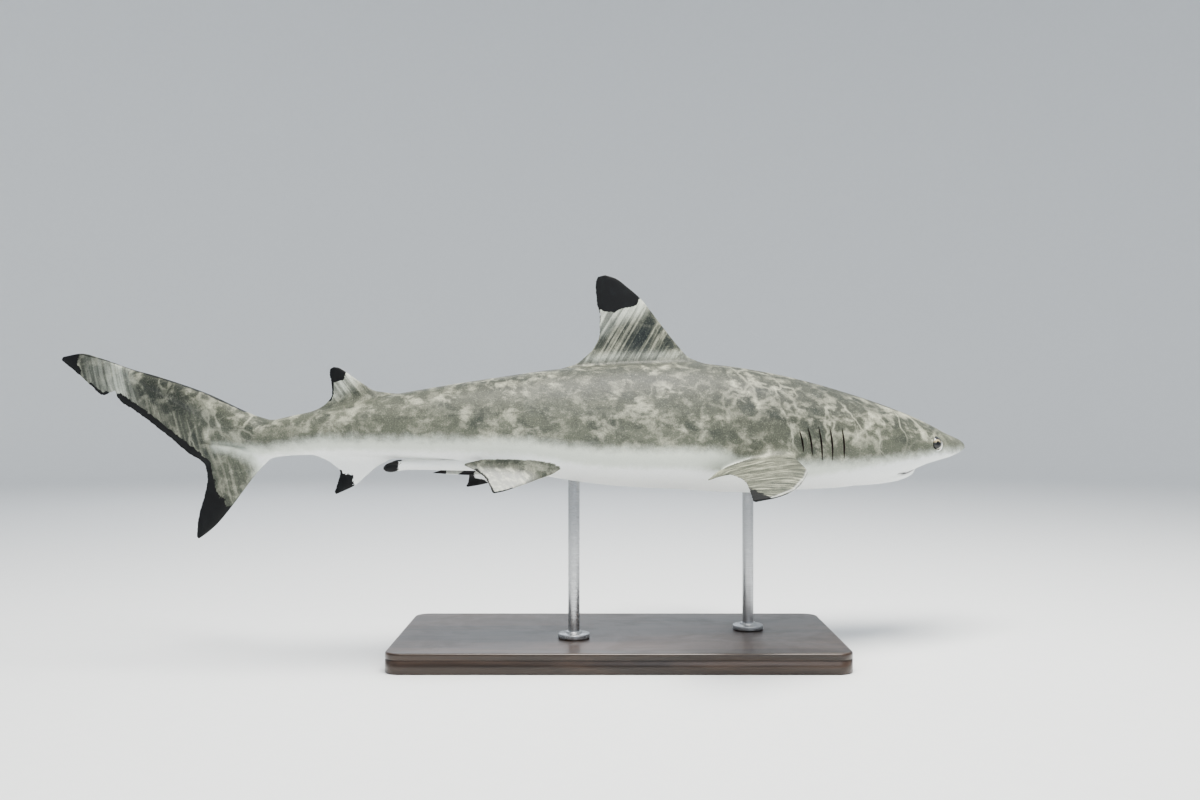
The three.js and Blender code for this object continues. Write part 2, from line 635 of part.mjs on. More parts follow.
const upperClearance = finSolid(upperLobe, GAP).add(tailAxis(GAP));
const upperLobeSolid = cut(finSolid(upperLobe).add(tailAxis()), aheadOfTail());
const lowerLobeSolid = cut(finSolid(lowerLobe), upperClearance, aheadOfTail());
addPart(shark, 'tail_fin_upper_lobe', upperLobeSolid, MATERIALS.fin);
addPart(shark, 'tail_fin_lower_lobe', lowerLobeSolid, MATERIALS.fin);

addPart(shark, 'first_dorsal_fin', cut(finSolid(firstDorsal), bodyClearance), MATERIALS.fin);
addPart(shark, 'second_dorsal_fin', cut(finSolid(secondDorsal), bodyClearance), MATERIALS.fin);
addPart(shark, 'anal_fin', cut(finSolid(anal), bodyClearance), MATERIALS.fin);

const pairedFins = {
  right: { pectoral: pectoralRight, pelvic: pelvicRight },
  left: { pectoral: mirrored(pectoralRight), pelvic: pelvicLeft },
};

Object.entries(HANDS).forEach(([name, hand]) => {
  const { pectoral, pelvic } = pairedFins[name];
  const clasper = cut(clasperSolid(hand), bodyClearance, finSolid(pelvic, GAP));
  addPart(shark, `pectoral_fin_${name}`, cut(finSolid(pectoral), bodyClearance), MATERIALS.fin);
  addPart(shark, `pelvic_fin_${name}`, cut(finSolid(pelvic), bodyClearance), MATERIALS.fin);
  addPart(shark, `clasper_${name}`, clasper, MATERIALS.clasper);
  addPart(shark, `eye_${name}`, eyeball(hand), MATERIALS.eye);
});

addPart(stand, 'stand_base', roundedPlate(BASE), MATERIALS.wood);
Object.entries(ROD.stations).forEach(([name, station]) => {
  addPart(stand, `stand_collar_${name}`, collarSolid(station), MATERIALS.steel);
  addPart(stand, `stand_rod_${name}`, rodSolid(station), MATERIALS.steel);
});

export default model;
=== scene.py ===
"""Blacktip reef shark, adult male: skin, eyes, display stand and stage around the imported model.

Metres, +Z up, head towards +X. The animal is drawn straight in body coordinates, in per cent of
its total length (along = back from the snout tip, side = to its left, up = above its axis), and
place() bends that straight animal along its backbone.
"""
import math

import bmesh
import bpy
import numpy as np
from bpy.props import FloatProperty, FloatVectorProperty, PointerProperty
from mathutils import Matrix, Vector
from mathutils.kdtree import KDTree


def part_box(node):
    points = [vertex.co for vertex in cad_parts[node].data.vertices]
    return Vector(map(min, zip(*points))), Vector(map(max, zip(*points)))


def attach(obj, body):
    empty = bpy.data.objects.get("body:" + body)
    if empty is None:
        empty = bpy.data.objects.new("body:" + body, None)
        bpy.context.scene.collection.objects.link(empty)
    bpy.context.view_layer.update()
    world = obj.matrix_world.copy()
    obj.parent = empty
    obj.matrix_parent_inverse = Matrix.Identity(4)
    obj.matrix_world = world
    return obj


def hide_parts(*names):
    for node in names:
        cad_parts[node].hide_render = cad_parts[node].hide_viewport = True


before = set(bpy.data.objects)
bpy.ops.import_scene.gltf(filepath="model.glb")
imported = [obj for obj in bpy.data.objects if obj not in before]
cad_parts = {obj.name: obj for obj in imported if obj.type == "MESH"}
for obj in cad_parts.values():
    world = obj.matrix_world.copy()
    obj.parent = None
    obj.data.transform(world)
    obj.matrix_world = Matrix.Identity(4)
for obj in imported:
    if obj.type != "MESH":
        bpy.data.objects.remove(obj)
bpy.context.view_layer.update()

bl_info = {
    "name": "Blacktip reef shark display model",
    "version": (1, 0, 0),
    "blender": (4, 5, 0),
    "location": "View3D > Sidebar > Shark",
    "description": "Builds the skin, eyes, stand and stage of a life-size shark model",
    "category": "Add Mesh",
}

MM = 0.001
TOTAL_LENGTH = 1.4                      # snout tip to tail tip along the backbone
UNIT = TOTAL_LENGTH / 100               # one per cent of the length
AXIS_HEIGHT = 0.31                      # body axis above the underside of the base
BASE_STATION = 40                       # station that stands over the base's centre
BASE_OFFSET_Y = -0.03
HANDS = {"right": -1, "left": 1}
QUARTER_TURN = np.pi / 2


# ---- curves and the bent backbone
def curve(pairs):
    """A smooth function through (position, value) pairs that never overshoots them."""
    x, y = (np.array(column, float) for column in zip(*pairs))
    step = np.diff(x)
    slope = np.diff(y) / step
    tangent = np.concatenate(([slope[0]], np.zeros(len(x) - 2), [slope[-1]]))
    for i in range(1, len(x) - 1):
        if slope[i - 1] * slope[i] > 0:
            before = 2 * step[i] + step[i - 1]
            after = step[i] + 2 * step[i - 1]
            tangent[i] = (before + after) / (before / slope[i - 1] + after / slope[i])

    def value_at(position):
        p = np.clip(position, x[0], x[-1])
        i = np.clip(np.searchsorted(x, p) - 1, 0, len(x) - 2)
        t = (p - x[i]) / step[i]
        stay = (1 + 2 * t) * (1 - t) ** 2
        bend = step[i] * (t * (1 - t) ** 2 * tangent[i] + t * t * (t - 1) * tangent[i + 1])
        return stay * y[i] + (1 - stay) * y[i + 1] + bend

    return value_at


def smooth(value, low=0.0, high=1.0):
    """0 below low, 1 above high, and an even S between them."""
    t = np.clip((value - low) / (high - low), 0, 1)
    return t * t * (3 - 2 * t)


def bump(value, centre, spread):
    """A bell of height 1."""
    return np.exp(-(((value - centre) / spread) ** 2))


def circle_angles(count):
    """Even steps once round a circle."""
    return np.arange(count) / count * 2 * np.pi


def unit(vectors):
    """The vectors, each at length 1."""
    return vectors / np.maximum(np.linalg.norm(vectors, axis=-1, keepdims=True), 1e-12)


heading = curve([(0, 20), (15, 18), (30, 15.5), (45, 12), (60, 4), (75, -9), (88, -20), (100, -25)])
STEPS_PER_CENT = 16                     # for tracing the backbone


def trace_backbone():
    """Stations and their x and y, stepped back from the snout and set over the base."""
    stations = np.arange(100 * STEPS_PER_CENT + 1) / STEPS_PER_CENT
    angle = np.radians(heading((stations[1:] + stations[:-1]) / 2))
    step = UNIT / STEPS_PER_CENT
    x = np.concatenate(([0], -np.cumsum(np.cos(angle)) * step))
    y = np.concatenate(([0], -np.cumsum(np.sin(angle)) * step))
    middle = BASE_STATION * STEPS_PER_CENT
    return stations, x - x[middle], y - y[middle] + BASE_OFFSET_Y


BACKBONE = trace_backbone()


def place(along, side, up):
    """Body coordinates to metres, as an array whose last axis is x, y, z."""
    along, side, up = np.broadcast_arrays(*(np.asarray(v, float) for v in (along, side, up)))
    stations, x, y = BACKBONE
    angle = np.radians(heading(along))
    beyond = (np.clip(along, 0, 100) - along) * UNIT
    return np.stack((
        np.interp(along, stations, x) + beyond * np.cos(angle) - side * UNIT * np.sin(angle),
        np.interp(along, stations, y) + beyond * np.sin(angle) + side * UNIT * np.cos(angle),
        AXIS_HEIGHT + up * UNIT,
    ), axis=-1)


def body_coordinates(points):
    """Metres back to body coordinates: the way back of place()."""
    along = BASE_STATION - points[:, 0] / UNIT
    for _ in range(8):
        gap = points - place(along, 0, 0)
        angle = np.radians(heading(along))
        along = along - (gap[:, 0] * np.cos(angle) + gap[:, 1] * np.sin(angle)) / UNIT
    gap = points - place(along, 0, 0)
    angle = np.radians(heading(along))
    side = (gap[:, 1] * np.cos(angle) - gap[:, 0] * np.sin(angle)) / UNIT
    return np.stack((along, side, (points[:, 2] - AXIS_HEIGHT) / UNIT), axis=-1)


# ---- the body's form
SNOUT_STATION = 0.1                     # where the body's form starts
STALK_END = 74.4                        # where the stalk gives way to the tail fin
AXIS_END = 93                           # where the backbone's fleshy end dies out in the upper lobe

back = curve([
    (SNOUT_STATION, -1.5), (0.4, -1.05), (1.64, -0.45), (2.94, 0), (5.5, 1.15), (8, 2.15), (11.7, 3.4),
    (15.4, 4.47), (18.9, 5.38), (23.5, 6.35), (28.9, 7.12), (33, 7.42), (38, 7.3), (45.9, 6.68),
    (51.9, 5.84), (56.4, 5.14), (60.7, 4.4), (64, 3.8), (68, 2.95), (70.5, 2.4), (72.5, 1.98),
    (STALK_END, 1.55),
])
underside = curve([
    (SNOUT_STATION, -1.5), (0.4, -1.72), (1.64, -2.18), (2.94, -2.55), (5.5, -3.1), (6.6, -3.35),
    (9.3, -4.3), (12.9, -5.25), (17.7, -5.69), (22.4, -5.8), (25, -5.97), (29.1, -5.84), (33.4, -5.5),
    (39.8, -5.08), (43.9, -4.57), (47.9, -3.85), (52, -2.95), (56, -2.45), (60, -2.2), (64, -2.02),
    (70, -1.78), (72.5, -1.87), (STALK_END, -2.1),
])
half_width = curve([
    (SNOUT_STATION, 0.1), (0.4, 0.9), (1.64, 2.2), (2.94, 3.1), (4.2, 3.75), (6.8, 4.6), (10.5, 5.35),
    (16, 6.05), (24, 6.4), (32, 6.3), (40, 5.8), (48, 4.9), (56, 3.8), (64, 2.7), (71, 1.95),
    (STALK_END, 1.72),
])
widest_level = curve([
    (SNOUT_STATION, -1.5), (3, -1.75), (6, -1.85), (13, -2.2), (20, -2), (30, -1.7), (40, -1.4),
    (48, -0.6), (56, 0.1), (64, 0.5), (STALK_END, -0.2),
])
square_above = curve([(0, 2), (6, 2.1), (16, 2.05), (30, 1.95), (STALK_END, 2)])
square_below = curve([(0, 2), (4, 2.7), (10, 2.6), (24, 2.3), (45, 2.2), (60, 2.1), (STALK_END, 2)])
upper_margin = curve([
    (74, 1.62), (74.65, 1.5), (77, 2.4), (81.45, 4.27), (84.3, 5.17), (87.3, 5.99), (90.2, 6.66),
    (93.8, 7.68), (97.4, 8.4), (98.8, 8.42), (100, 7.95),
])
axis_depth = curve([(STALK_END, 3.62), (78, 3.5), (84, 2.4), (AXIS_END, 0.9)])
axis_width = curve([(STALK_END, 1.72), (78, 1.25), (84, 0.75), (AXIS_END, 0.2)])


def section(along):
    """Top, bottom, half width and widest level of the body, on through the tail's fleshy axis."""
    tail = along > STALK_END
    top = np.where(tail, upper_margin(along), back(along))
    bottom = np.where(tail, upper_margin(along) - axis_depth(along), underside(along))
    width = np.where(tail, axis_width(along), half_width(along))
    into_tail = smooth(along, STALK_END - 4, STALK_END + 1)
    level = widest_level(along) * (1 - into_tail) + (top + bottom) / 2 * into_tail
    return top, bottom, width, level


def quadrant(along, is_above):
    """Half width and widest level of a section, and the reach and squareness of one part of it.

    That is the part over the widest level where is_above(level) holds, and the part under it elsewhere.
    """
    top, bottom, width, level = section(along)
    above = is_above(level)
    power = np.where(above, square_above(along), square_below(along))
    return width, level, np.where(above, top - level, level - bottom), power


def body_point(along, turn):
    """side and up at a turn round the section, counted from the animal's left."""
    width, level, reach, power = quadrant(along, lambda level: np.sin(turn) >= 0)

    def rounded(wave):
        return np.sign(wave) * np.abs(wave) ** (2 / power)

    return width * rounded(np.cos(turn)), level + reach * rounded(np.sin(turn))


def surface_side(along, up):
    """How far out the flank is at a station and level."""
    width, level, reach, power = quadrant(along, lambda level: up >= level)
    part = np.clip(np.abs(up - level) / reach, 0, 1)
    return width * (1 - part ** power) ** (1 / power)


def underside_up(along, side):
    """How high the lower surface is at a station and a distance from the middle."""
    width, level, reach, power = quadrant(along, lambda level: False)
    part = np.clip(np.abs(side) / width, 0, 1)
    return level - reach * (1 - part ** power) ** (1 / power)


# ---- details of the head
EYE = {"along": 6.4, "up": -1.07, "radius": 12 * MM, "sunk": 8.9 * MM, "opening": 7.9 * MM}
EYE_RIM = {"behind": 1.2, "ahead": 1.1, "outside": 1.3 * MM, "width": 1.8 * MM}   # its heights are in mm
GILL = {"width": 2.2 * MM, "depth": 7 * MM, "flap": 1.9 * MM, "flap_length": 1.0, "flap_edge": 0.16,
        "dip": 0.55, "bow": 0.12, "lean_in": 0.16}
GILL_SLITS = (
    {"along": 18.4, "lean": 0, "top": 0.75, "bottom": -2.3},
    {"along": 19.75, "lean": 0.1, "top": 0.88, "bottom": -2.5},
    {"along": 20.95, "lean": 0.2, "top": 0.9, "bottom": -2.45},
    {"along": 22.1, "lean": 0.32, "top": 0.9, "bottom": -1.95},
    {"along": 23.05, "lean": 0.3, "top": 0.55, "bottom": -1.6},
)


def slit_station(slit, up):
    """Where a gill slit is along the body at a level: it leans, and bows a little forwards."""
    part = (slit["top"] - up) / (slit["top"] - slit["bottom"])
    return slit["along"] + slit["lean"] * (0.5 - part) - GILL["bow"] * np.sin(np.clip(part, 0, 1) * np.pi)


def head_relief(along, side, up):
    """Height in metres added to the bare form: the gill flaps and the rim of the eye."""
    height = np.zeros_like(along)
    for slit in GILL_SLITS:
        behind = along - slit_station(slit, up)
        middle = (slit["top"] + slit["bottom"]) / 2
        window = smooth(1.25 - np.abs(up - middle) / (slit["top"] - slit["bottom"]) * 2, 0, 0.6)
        rise, fall = smooth(behind, -GILL["flap_length"], 0), 1 - smooth(behind, 0, GILL["flap_edge"])
        dip = np.where(behind > 0, bump(behind, 0.14, 0.2), 0)
        height += window * GILL["flap"] * (np.where(behind < 0, rise, fall) - GILL["dip"] * dip)
    from_eye = np.hypot((along - EYE["along"]) * UNIT, (up - EYE["up"]) * UNIT)
    ahead_of_eye = smooth(EYE["along"] + 0.3 - along, 0, 0.7)
    rim = bump(from_eye, EYE["opening"] + EYE_RIM["outside"], EYE_RIM["width"])
    height += (EYE_RIM["behind"] + EYE_RIM["ahead"] * ahead_of_eye) * MM * rim
    return height * (np.abs(side) > 0.3)      # none on the midline of the snout


# ---- meshes from grids
def fan_faces(ring, middle):
    """Triangles from a middle point to a ring of points."""
    return [(middle, b, a) for a, b in zip(ring, np.roll(ring, -1))]


def ring_quads(rows, sides):
    """The point numbers of a grid of rings, and the four-sided faces between them."""
    index = np.arange(rows * sides).reshape(rows, sides)
    a, b = index[:-1], index[1:]
    return index, np.stack((a, np.roll(a, -1, 1), np.roll(b, -1, 1), b), axis=-1).reshape(-1, 4)


def closed_loft(grid, name, region="body"):
    """A closed mesh object through rows of rings, its two ends closed by fans."""
    rows, sides, _ = grid.shape
    index, quads = ring_quads(rows, sides)
    points = np.concatenate((grid.reshape(-1, 3), [grid[0].mean(0)], [grid[-1].mean(0)]))
    first = fan_faces(index[0], rows * sides)
    last = [face[::-1] for face in fan_faces(index[-1], rows * sides + 1)]
    return solid_object(name, points, quads.tolist() + first + last, region)


def placed(name, data):
    """A new object in the scene."""
    made = bpy.data.objects.new(name, data)
    bpy.context.scene.collection.objects.link(made)
    return made


def solid_object(name, points, faces, region="body"):
    """A mesh object with its faces pointing out, all of them marked as one region."""
    mesh = bpy.data.meshes.new(name)
    mesh.from_pydata(points, [], [tuple(int(i) for i in face) for face in faces])
    if signed_volume(mesh) < 0:
        mesh.flip_normals()
    for marked in REGIONS:
        mesh.materials.append(region_marker(marked))
    marks = np.full(len(mesh.polygons), REGIONS.index(region), np.int32)
    mesh.polygons.foreach_set("material_index", marks)
    return placed(name, mesh)


def signed_volume(mesh):
    """Six times the volume inside a mesh, negative where its faces point in."""
    mesh.calc_loop_triangles()
    points = vertex_array(mesh)
    a, b, c = (points[corner] for corner in mesh_values(mesh.loop_triangles, "vertices", 3).T)
    return float(np.einsum("ij,ij->i", a, np.cross(b, c)).sum())


def mesh_values(items, name, width=1, kind=np.int32):
    """A named value of every item of a mesh, in rows of width where it is over 1."""
    values = np.empty(len(items) * width, kind)
    items.foreach_get(name, values)
    return values.reshape(-1, width) if width > 1 else values


def vertex_array(mesh):
    """The mesh's points, one row each."""
    return mesh_values(mesh.vertices, "co", 3, float)


REGIONS = ("body", "fins", "jaw", "tail", "claspers", "hollow")


def region_marker(region):
    """An empty material that marks which form a face came from until the skin is painted."""
    name = f"region_{region}"
    return bpy.data.materials.get(name) or bpy.data.materials.new(name)


def combine(target, others, operation):
    """Joins others to target, or cuts them from it, and keeps which region each face came from."""
    for other in others:
        change = target.modifiers.new(operation.lower(), "BOOLEAN")
        change.operation = operation
        change.solver = "MANIFOLD"
        change.object = other
    evaluated = target.evaluated_get(bpy.context.evaluated_depsgraph_get())
    mesh = bpy.data.meshes.new_from_object(evaluated)
    target.modifiers.clear()
    spent = target.data
    target.data = mesh
    bpy.data.meshes.remove(spent)
    for other in others:
        bpy.data.meshes.remove(other.data)


def joined(name, parts):
    """Several closed meshes that don't touch, as one object."""
    points, faces, regions, start = [], [], [], 0
    for part in parts:
        points.append(vertex_array(part.data))
        faces += [[start + i for i in face.vertices] for face in part.data.polygons]
        regions.append(mesh_values(part.data.polygons, "material_index"))
        start += len(part.data.vertices)
        bpy.data.meshes.remove(part.data)
    whole = solid_object(name, np.concatenate(points), faces)
    whole.data.polygons.foreach_set("material_index", np.concatenate(regions))
    return whole


# ---- the bare body
BODY_SIDES = 288
# Stretches of stations, closest on the head and gills: from, to, how many, and how crowded at the start.
BODY_STATIONS = ((SNOUT_STATION, 3.5, 64, 1.6), (3.5, 9.5, 130, 1), (9.5, 17.4, 74, 1),
                 (17.4, 24.6, 130, 1), (24.6, STALK_END, 270, 1), (STALK_END, AXIS_END, 110, 1))


def spaced(start, end, count, crowd=1):
    """count steps from start to end, crowded towards the start where crowd is over 1."""
    return start + (end - start) * (np.arange(count) / count) ** crowd


def grid_normals(grid):
    """The unit normals of a grid of points whose rows are rings."""
    down = np.gradient(grid, axis=0)
    around = np.roll(grid, -1, 1) - np.roll(grid, 1, 1)
    return unit(np.cross(around, down))


def body_form():
    """The body from the snout to the end of the tail's fleshy axis, without its fins."""
    stations = np.concatenate([spaced(*stretch) for stretch in BODY_STATIONS] + [[AXIS_END]])[:, None]
    turn = circle_angles(BODY_SIDES)
    side, up = body_point(stations, turn)
    along = np.broadcast_to(stations, side.shape)
    grid = place(along, side, up)
    outward = grid_normals(grid)
    middle = place(along, 0 * side, 0 * side + widest_level(along))
    outward *= np.sign(np.einsum("ijk,ijk->ij", outward, grid - middle))[..., None]
    return closed_loft(grid + outward * head_relief(along, side, up)[..., None], "shark_skin")


# ---- fins
# A fin is a sheet between its front and rear edges, each given from the root (0) to the tip (1) as
# (part, along, side, up), with its full thickness in millimetres as (part, thickness).
EDGE_THICKNESS = 0.8 * MM

FINS = {
    "first_dorsal": {
        "front": [(0, 30.2, 0, 6.6), (0.05, 31, 0, 7.35), (0.12, 32.5, 0, 7.92), (0.2, 33.6, 0, 9),
                  (0.35, 35.1, 0, 10.75), (0.5, 36.6, 0, 12.6), (0.65, 37.7, 0, 13.87), (0.8, 39, 0, 14.93),
                  (0.92, 40.3, 0, 15.82), (1, 41.3, 0, 16.1)],
        "rear": [(0, 42.4, 0, 6.2), (0.05, 45.9, 0, 6.72), (0.12, 44.6, 0, 6.98), (0.2, 43.5, 0, 7.75),
                 (0.35, 42.4, 0, 8.85), (0.5, 41.85, 0, 10.3), (0.65, 41.85, 0, 12), (0.8, 42.15, 0, 13.4),
                 (0.92, 42.27, 0, 15.2), (1, 42.05, 0, 15.9)],
        "thickness": [(0, 22), (0.12, 16), (0.3, 10), (0.6, 7), (1, 2.5)],
        "rows": 130, "columns": 56, "ragged": 0.03, "nick": (0.665, 0.011, 0.16),
    },
    "second_dorsal": {
        "front": [(0, 61.5, 0, 3.4), (0.06, 62.4, 0, 4.25), (0.15, 64, 0, 4.45), (0.3, 65.05, 0, 5.05),
                  (0.55, 66.2, 0, 5.8), (0.8, 67.2, 0, 6.5), (0.93, 67.7, 0, 6.75), (1, 68.1, 0, 6.8)],
        "rear": [(0, 67.8, 0, 2.6), (0.06, 70.9, -0.5, 2.1), (0.15, 70, -0.25, 2.5), (0.3, 68.9, 0, 3.18),
                 (0.55, 68.25, 0, 4.2), (0.8, 68.35, 0, 5.4), (0.93, 68.5, 0, 6.2), (1, 68.45, 0, 6.6)],
        "thickness": [(0, 14), (0.15, 8), (0.4, 5), (1, 2)],
        "rows": 70, "columns": 40, "ragged": 0.03,
    },
    "anal": {
        "front": [(0, 62.3, 0, -1.6), (0.08, 62.7, 0, -2.3), (0.18, 63.7, 0, -2.8), (0.35, 64.85, 0, -3.76),
                  (0.6, 65.95, 0, -4.72), (0.82, 67, 0, -5.25), (1, 67.85, 0, -5.62)],
        "rear": [(0, 67.6, 0, -1.3), (0.08, 70, 0, -1.86), (0.18, 69, 0, -2.2), (0.35, 68.15, 0, -2.72),
                 (0.6, 67.45, 0, -3.5), (0.82, 67.7, 0, -4.5), (1, 68, 0, -5.4)],
        "thickness": [(0, 14), (0.15, 8), (0.4, 5), (1, 2)],
        "rows": 70, "columns": 40, "ragged": 0.03,
    },
    "pectoral_right": {
        "front": [(0, 22.8, -4.6, -1.75), (0.06, 23.7, -6.4, -2.15), (0.12, 24.1, -7.6, -2.4),
                  (0.2, 24.3, -9, -2.7), (0.4, 24.9, -11.5, -3.15), (0.6, 26.2, -13.7, -3.7),
                  (0.8, 28.6, -16.6, -4.55), (0.92, 31, -18.5, -4.97), (1, 33, -19.5, -5.15)],
        "rear": [(0, 28.8, -4.4, -2.9), (0.06, 31, -6, -3.22), (0.12, 32.85, -6.7, -3.62),
                 (0.2, 31.4, -8.4, -3.53), (0.4, 31.2, -10.8, -3.75), (0.6, 31.6, -13.2, -3.95),
                 (0.8, 32.35, -15.9, -4.3), (0.92, 33, -18.2, -4.78), (1, 33.35, -19.45, -5.12)],
        "thickness": [(0, 26), (0.1, 18), (0.25, 12), (0.6, 8), (1, 2)],
        "rows": 130, "columns": 50, "ragged": 0.03, "curl": (0.12, 0.045, 0.55),
    },
    "pelvic_right": {
        "front": [(0, 46, -4, -1.9), (0.12, 46.6, -4, -3.15), (0.35, 48.7, -4.5, -3.97),
                  (0.6, 50.6, -5.4, -4.55), (0.85, 52.1, -6.2, -4.95), (1, 52.8, -6.5, -5.05)],
        "rear": [(0, 51, -3.3, -1.1), (0.12, 53.6, -3, -2.1), (0.22, 55.4, -3.1, -2.6),
                 (0.35, 54.4, -3.7, -3.12), (0.6, 53.5, -4.9, -3.85), (0.85, 53.1, -6, -4.7),
                 (1, 53, -6.4, -5)],
        "thickness": [(0, 20), (0.2, 11), (0.5, 6), (1, 2)],
        "rows": 80, "columns": 44, "ragged": 0.03,
    },
    "upper_lobe": {
        "front": [(part, along, 0, float(upper_margin(along))) for part, along in (
            (0, 74.3), (0.1, 76.6), (0.2, 79.2), (0.3, 81.45), (0.4, 83.9), (0.5, 86.3), (0.6, 88.7),
            (0.68, 90.6), (0.73, 91.5), (0.76, 92), (0.82, 93.3), (0.88, 94.8), (0.95, 97.2), (1, 99.7))],
        "rear": [(0, 74.9, 0, -1.9), (0.1, 77.5, 0, -2.4), (0.2, 80.3, 0, -2.7), (0.3, 82.5, 0, -2.2),
                 (0.4, 85.4, 0, -0.32), (0.5, 87.8, 0, 1.23), (0.6, 90, 0, 2.52), (0.68, 91.6, 0, 3.32),
                 (0.73, 92.3, 0, 3.95), (0.76, 92.6, 0, 4.55), (0.82, 94.2, 0, 4.08), (0.88, 95.65, 0, 5),
                 (0.95, 97.95, 0, 6.52), (1, 99.95, 0, 7.75)],
        "thickness": [(0, 24), (0.2, 14), (0.5, 9), (0.8, 6), (1, 1.5)],
        "rows": 190, "columns": 44, "ragged": 0.035,
    },
    "lower_lobe": {
        "front": [(0, 73.9, 0, -1.4), (0.08, 74.6, 0, -2.25), (0.2, 75.9, 0, -3.55), (0.4, 77.3, 0, -5.3),
                  (0.6, 78.7, 0, -7.05), (0.8, 80.3, 0, -8.8), (0.93, 81.5, 0, -9.75), (1, 82.2, 0, -10.2)],
        "rear": [(0, 83.6, 0, -0.6), (0.08, 82.5, 0, -2.05), (0.2, 81.5, 0, -2.95), (0.4, 81.25, 0, -4.3),
                 (0.6, 81.6, 0, -6), (0.8, 82.15, 0, -7.7), (0.93, 82.4, 0, -9.1), (1, 82.45, 0, -10.05)],
        "thickness": [(0, 20), (0.2, 11), (0.5, 7), (1, 2)],
        "rows": 110, "columns": 44, "ragged": 0.035,
    },
}


def mirrored(fin):
    """The same fin on the other side."""
    def flip(rows):
        return [(part, along, -side, up) for part, along, side, up in rows]
    return {**fin, "front": flip(fin["front"]), "rear": flip(fin["rear"])}


FINS["pectoral_left"] = mirrored(FINS["pectoral_right"])
# The left pelvic fin trails further back than the right one, with a longer free rear tip.
FINS["pelvic_left"] = {
    **FINS["pelvic_right"],
    "front": [(0, 46, 4, -1.9), (0.12, 46.85, 4, -3.2), (0.35, 49.4, 4.5, -4.1), (0.6, 51.9, 5.4, -4.75),
              (0.85, 53.9, 6.2, -5.2), (1, 54.9, 6.5, -5.35)],
    "rear": [(0, 51, 3.3, -1.1), (0.12, 54.6, 3, -2.45), (0.22, 58.6, 3, -3.75), (0.35, 56, 3.7, -3.55),
             (0.6, 54.8, 4.9, -4.05), (0.85, 54.9, 6, -4.95), (1, 55.1, 6.4, -5.3)],
}
PAIRED = ("pectoral_right", "pectoral_left", "pelvic_right", "pelvic_left")


def fin_sheet(fin):
    """The fin's middle surface: (part, chord) to body coordinates, with its frayed edge and curl."""
    def edge(rows):
        return [curve([(row[0], row[axis]) for row in rows]) for axis in (1, 2, 3)]
    front, rear = edge(fin["front"]), edge(fin["rear"])

    def point(part, chord):
        part, chord = np.broadcast_arrays(part, chord)
        start = np.stack([f(part) for f in front], axis=-1)
        end = np.stack([f(part) for f in rear], axis=-1)
        fray = sum(np.sin(part * rate + rate) for rate in (61.0, 143.0, 227.0, 389.0)) * fin["ragged"] / 2
        if "nick" in fin:
            where, spread, depth = fin["nick"]
            fray = fray - depth * bump(part, where, spread)
        fray = fray * smooth(part, 0.1, 0.25) * smooth(1 - part, 0, 0.05)
        sheet = start + (end - start) * chord[..., None] + unit(end - start) * (fray * chord ** 6)[..., None]
        if "curl" in fin:
            where, spread, depth = fin["curl"]
            sheet[..., 2] -= depth * bump(part, where, spread) * smooth(chord, 0.8, 1) ** 2
        return sheet

    return point


def sheet_across(point, part, chord):
    """The unit normal of a fin's sheet, in body coordinates."""
    step = 0.004
    along_chord = point(part, np.minimum(chord + step, 1)) - point(part, np.maximum(chord - step, 0))
    along_span = point(np.minimum(part + step, 1), chord) - point(np.maximum(part - step, 0), chord)
    return unit(np.cross(along_chord, along_span))


def streamline(chord):
    """Half the thickness of a streamlined section at a part of its chord, for a thickness of 1."""
    c = chord
    return 5 * (0.2969 * np.sqrt(c) - 0.126 * c - 0.3516 * c ** 2 + 0.2843 * c ** 3 - 0.1036 * c ** 4)


def fin_form(name):
    """A fin as a closed solid: a streamlined section either side of its sheet."""
    fin = FINS[name]
    point = fin_sheet(fin)
    part = (1 - (1 - np.linspace(0, 1, fin["rows"])) ** 1.25)[:, None]
    chord = 0.5 - 0.5 * np.cos(np.linspace(0, np.pi, fin["columns"] + 1))
    middle = point(part, chord)
    if name in PAIRED:
        across = sheet_across(point, np.broadcast_to(part, middle.shape[:2]), chord)
    else:
        across = np.broadcast_to((0.0, 1.0, 0.0), middle.shape)
    half = (curve(fin["thickness"])(part) * MM * streamline(chord) + EDGE_THICKNESS / 2) / UNIT
    faces = [middle + across * half[..., None], (middle - across * half[..., None])[:, ::-1]]
    region = "tail" if name.endswith("lobe") else "fins"
    return closed_loft(place(*np.moveaxis(np.concatenate(faces, axis=1), -1, 0)), name, region)


# ---- jaw and claspers
JAW_FRONT, JAW_END = 6.55, 15.5
jaw_drop = curve([(JAW_FRONT, -4.15), (7.4, -4.66), (9.3, -5.05), (12.9, -5.42), (JAW_END, -5.5)])
jaw_half_width = curve([(JAW_FRONT, 0.6), (7, 1.5), (7.9, 2.5), (9.1, 3.4), (10.2, 4), (12.5, 3.9),
                        (JAW_END, 3)])


def jaw_form():
    """The lower jaw and throat, which hang below the head's own underside."""
    along = (JAW_FRONT + (JAW_END - JAW_FRONT) * np.linspace(0, 1, 90) ** 1.4)[:, None]
    turn = circle_angles(96)
    top = underside(along) + 0.5
    side = jaw_half_width(along) * np.sign(np.cos(turn)) * np.abs(np.cos(turn)) ** 0.8
    up = top + np.where(np.sin(turn) > 0, 0.05, top - jaw_drop(along)) * np.sin(turn)
    return closed_loft(place(along, side, up), "jaw", "jaw")


CLASPER_SIDE = 1.55
clasper_along = curve([(0, 50.5), (0.2, 53), (1, 63)])
clasper_up = curve([(0, -2.3), (0.2, -2.75), (0.8, -2.72), (1, -3)])
clasper_radius = curve([(0, 0.55), (0.3, 0.54), (0.85, 0.44), (0.93, 0.5), (0.98, 0.36), (1, 0.12)])


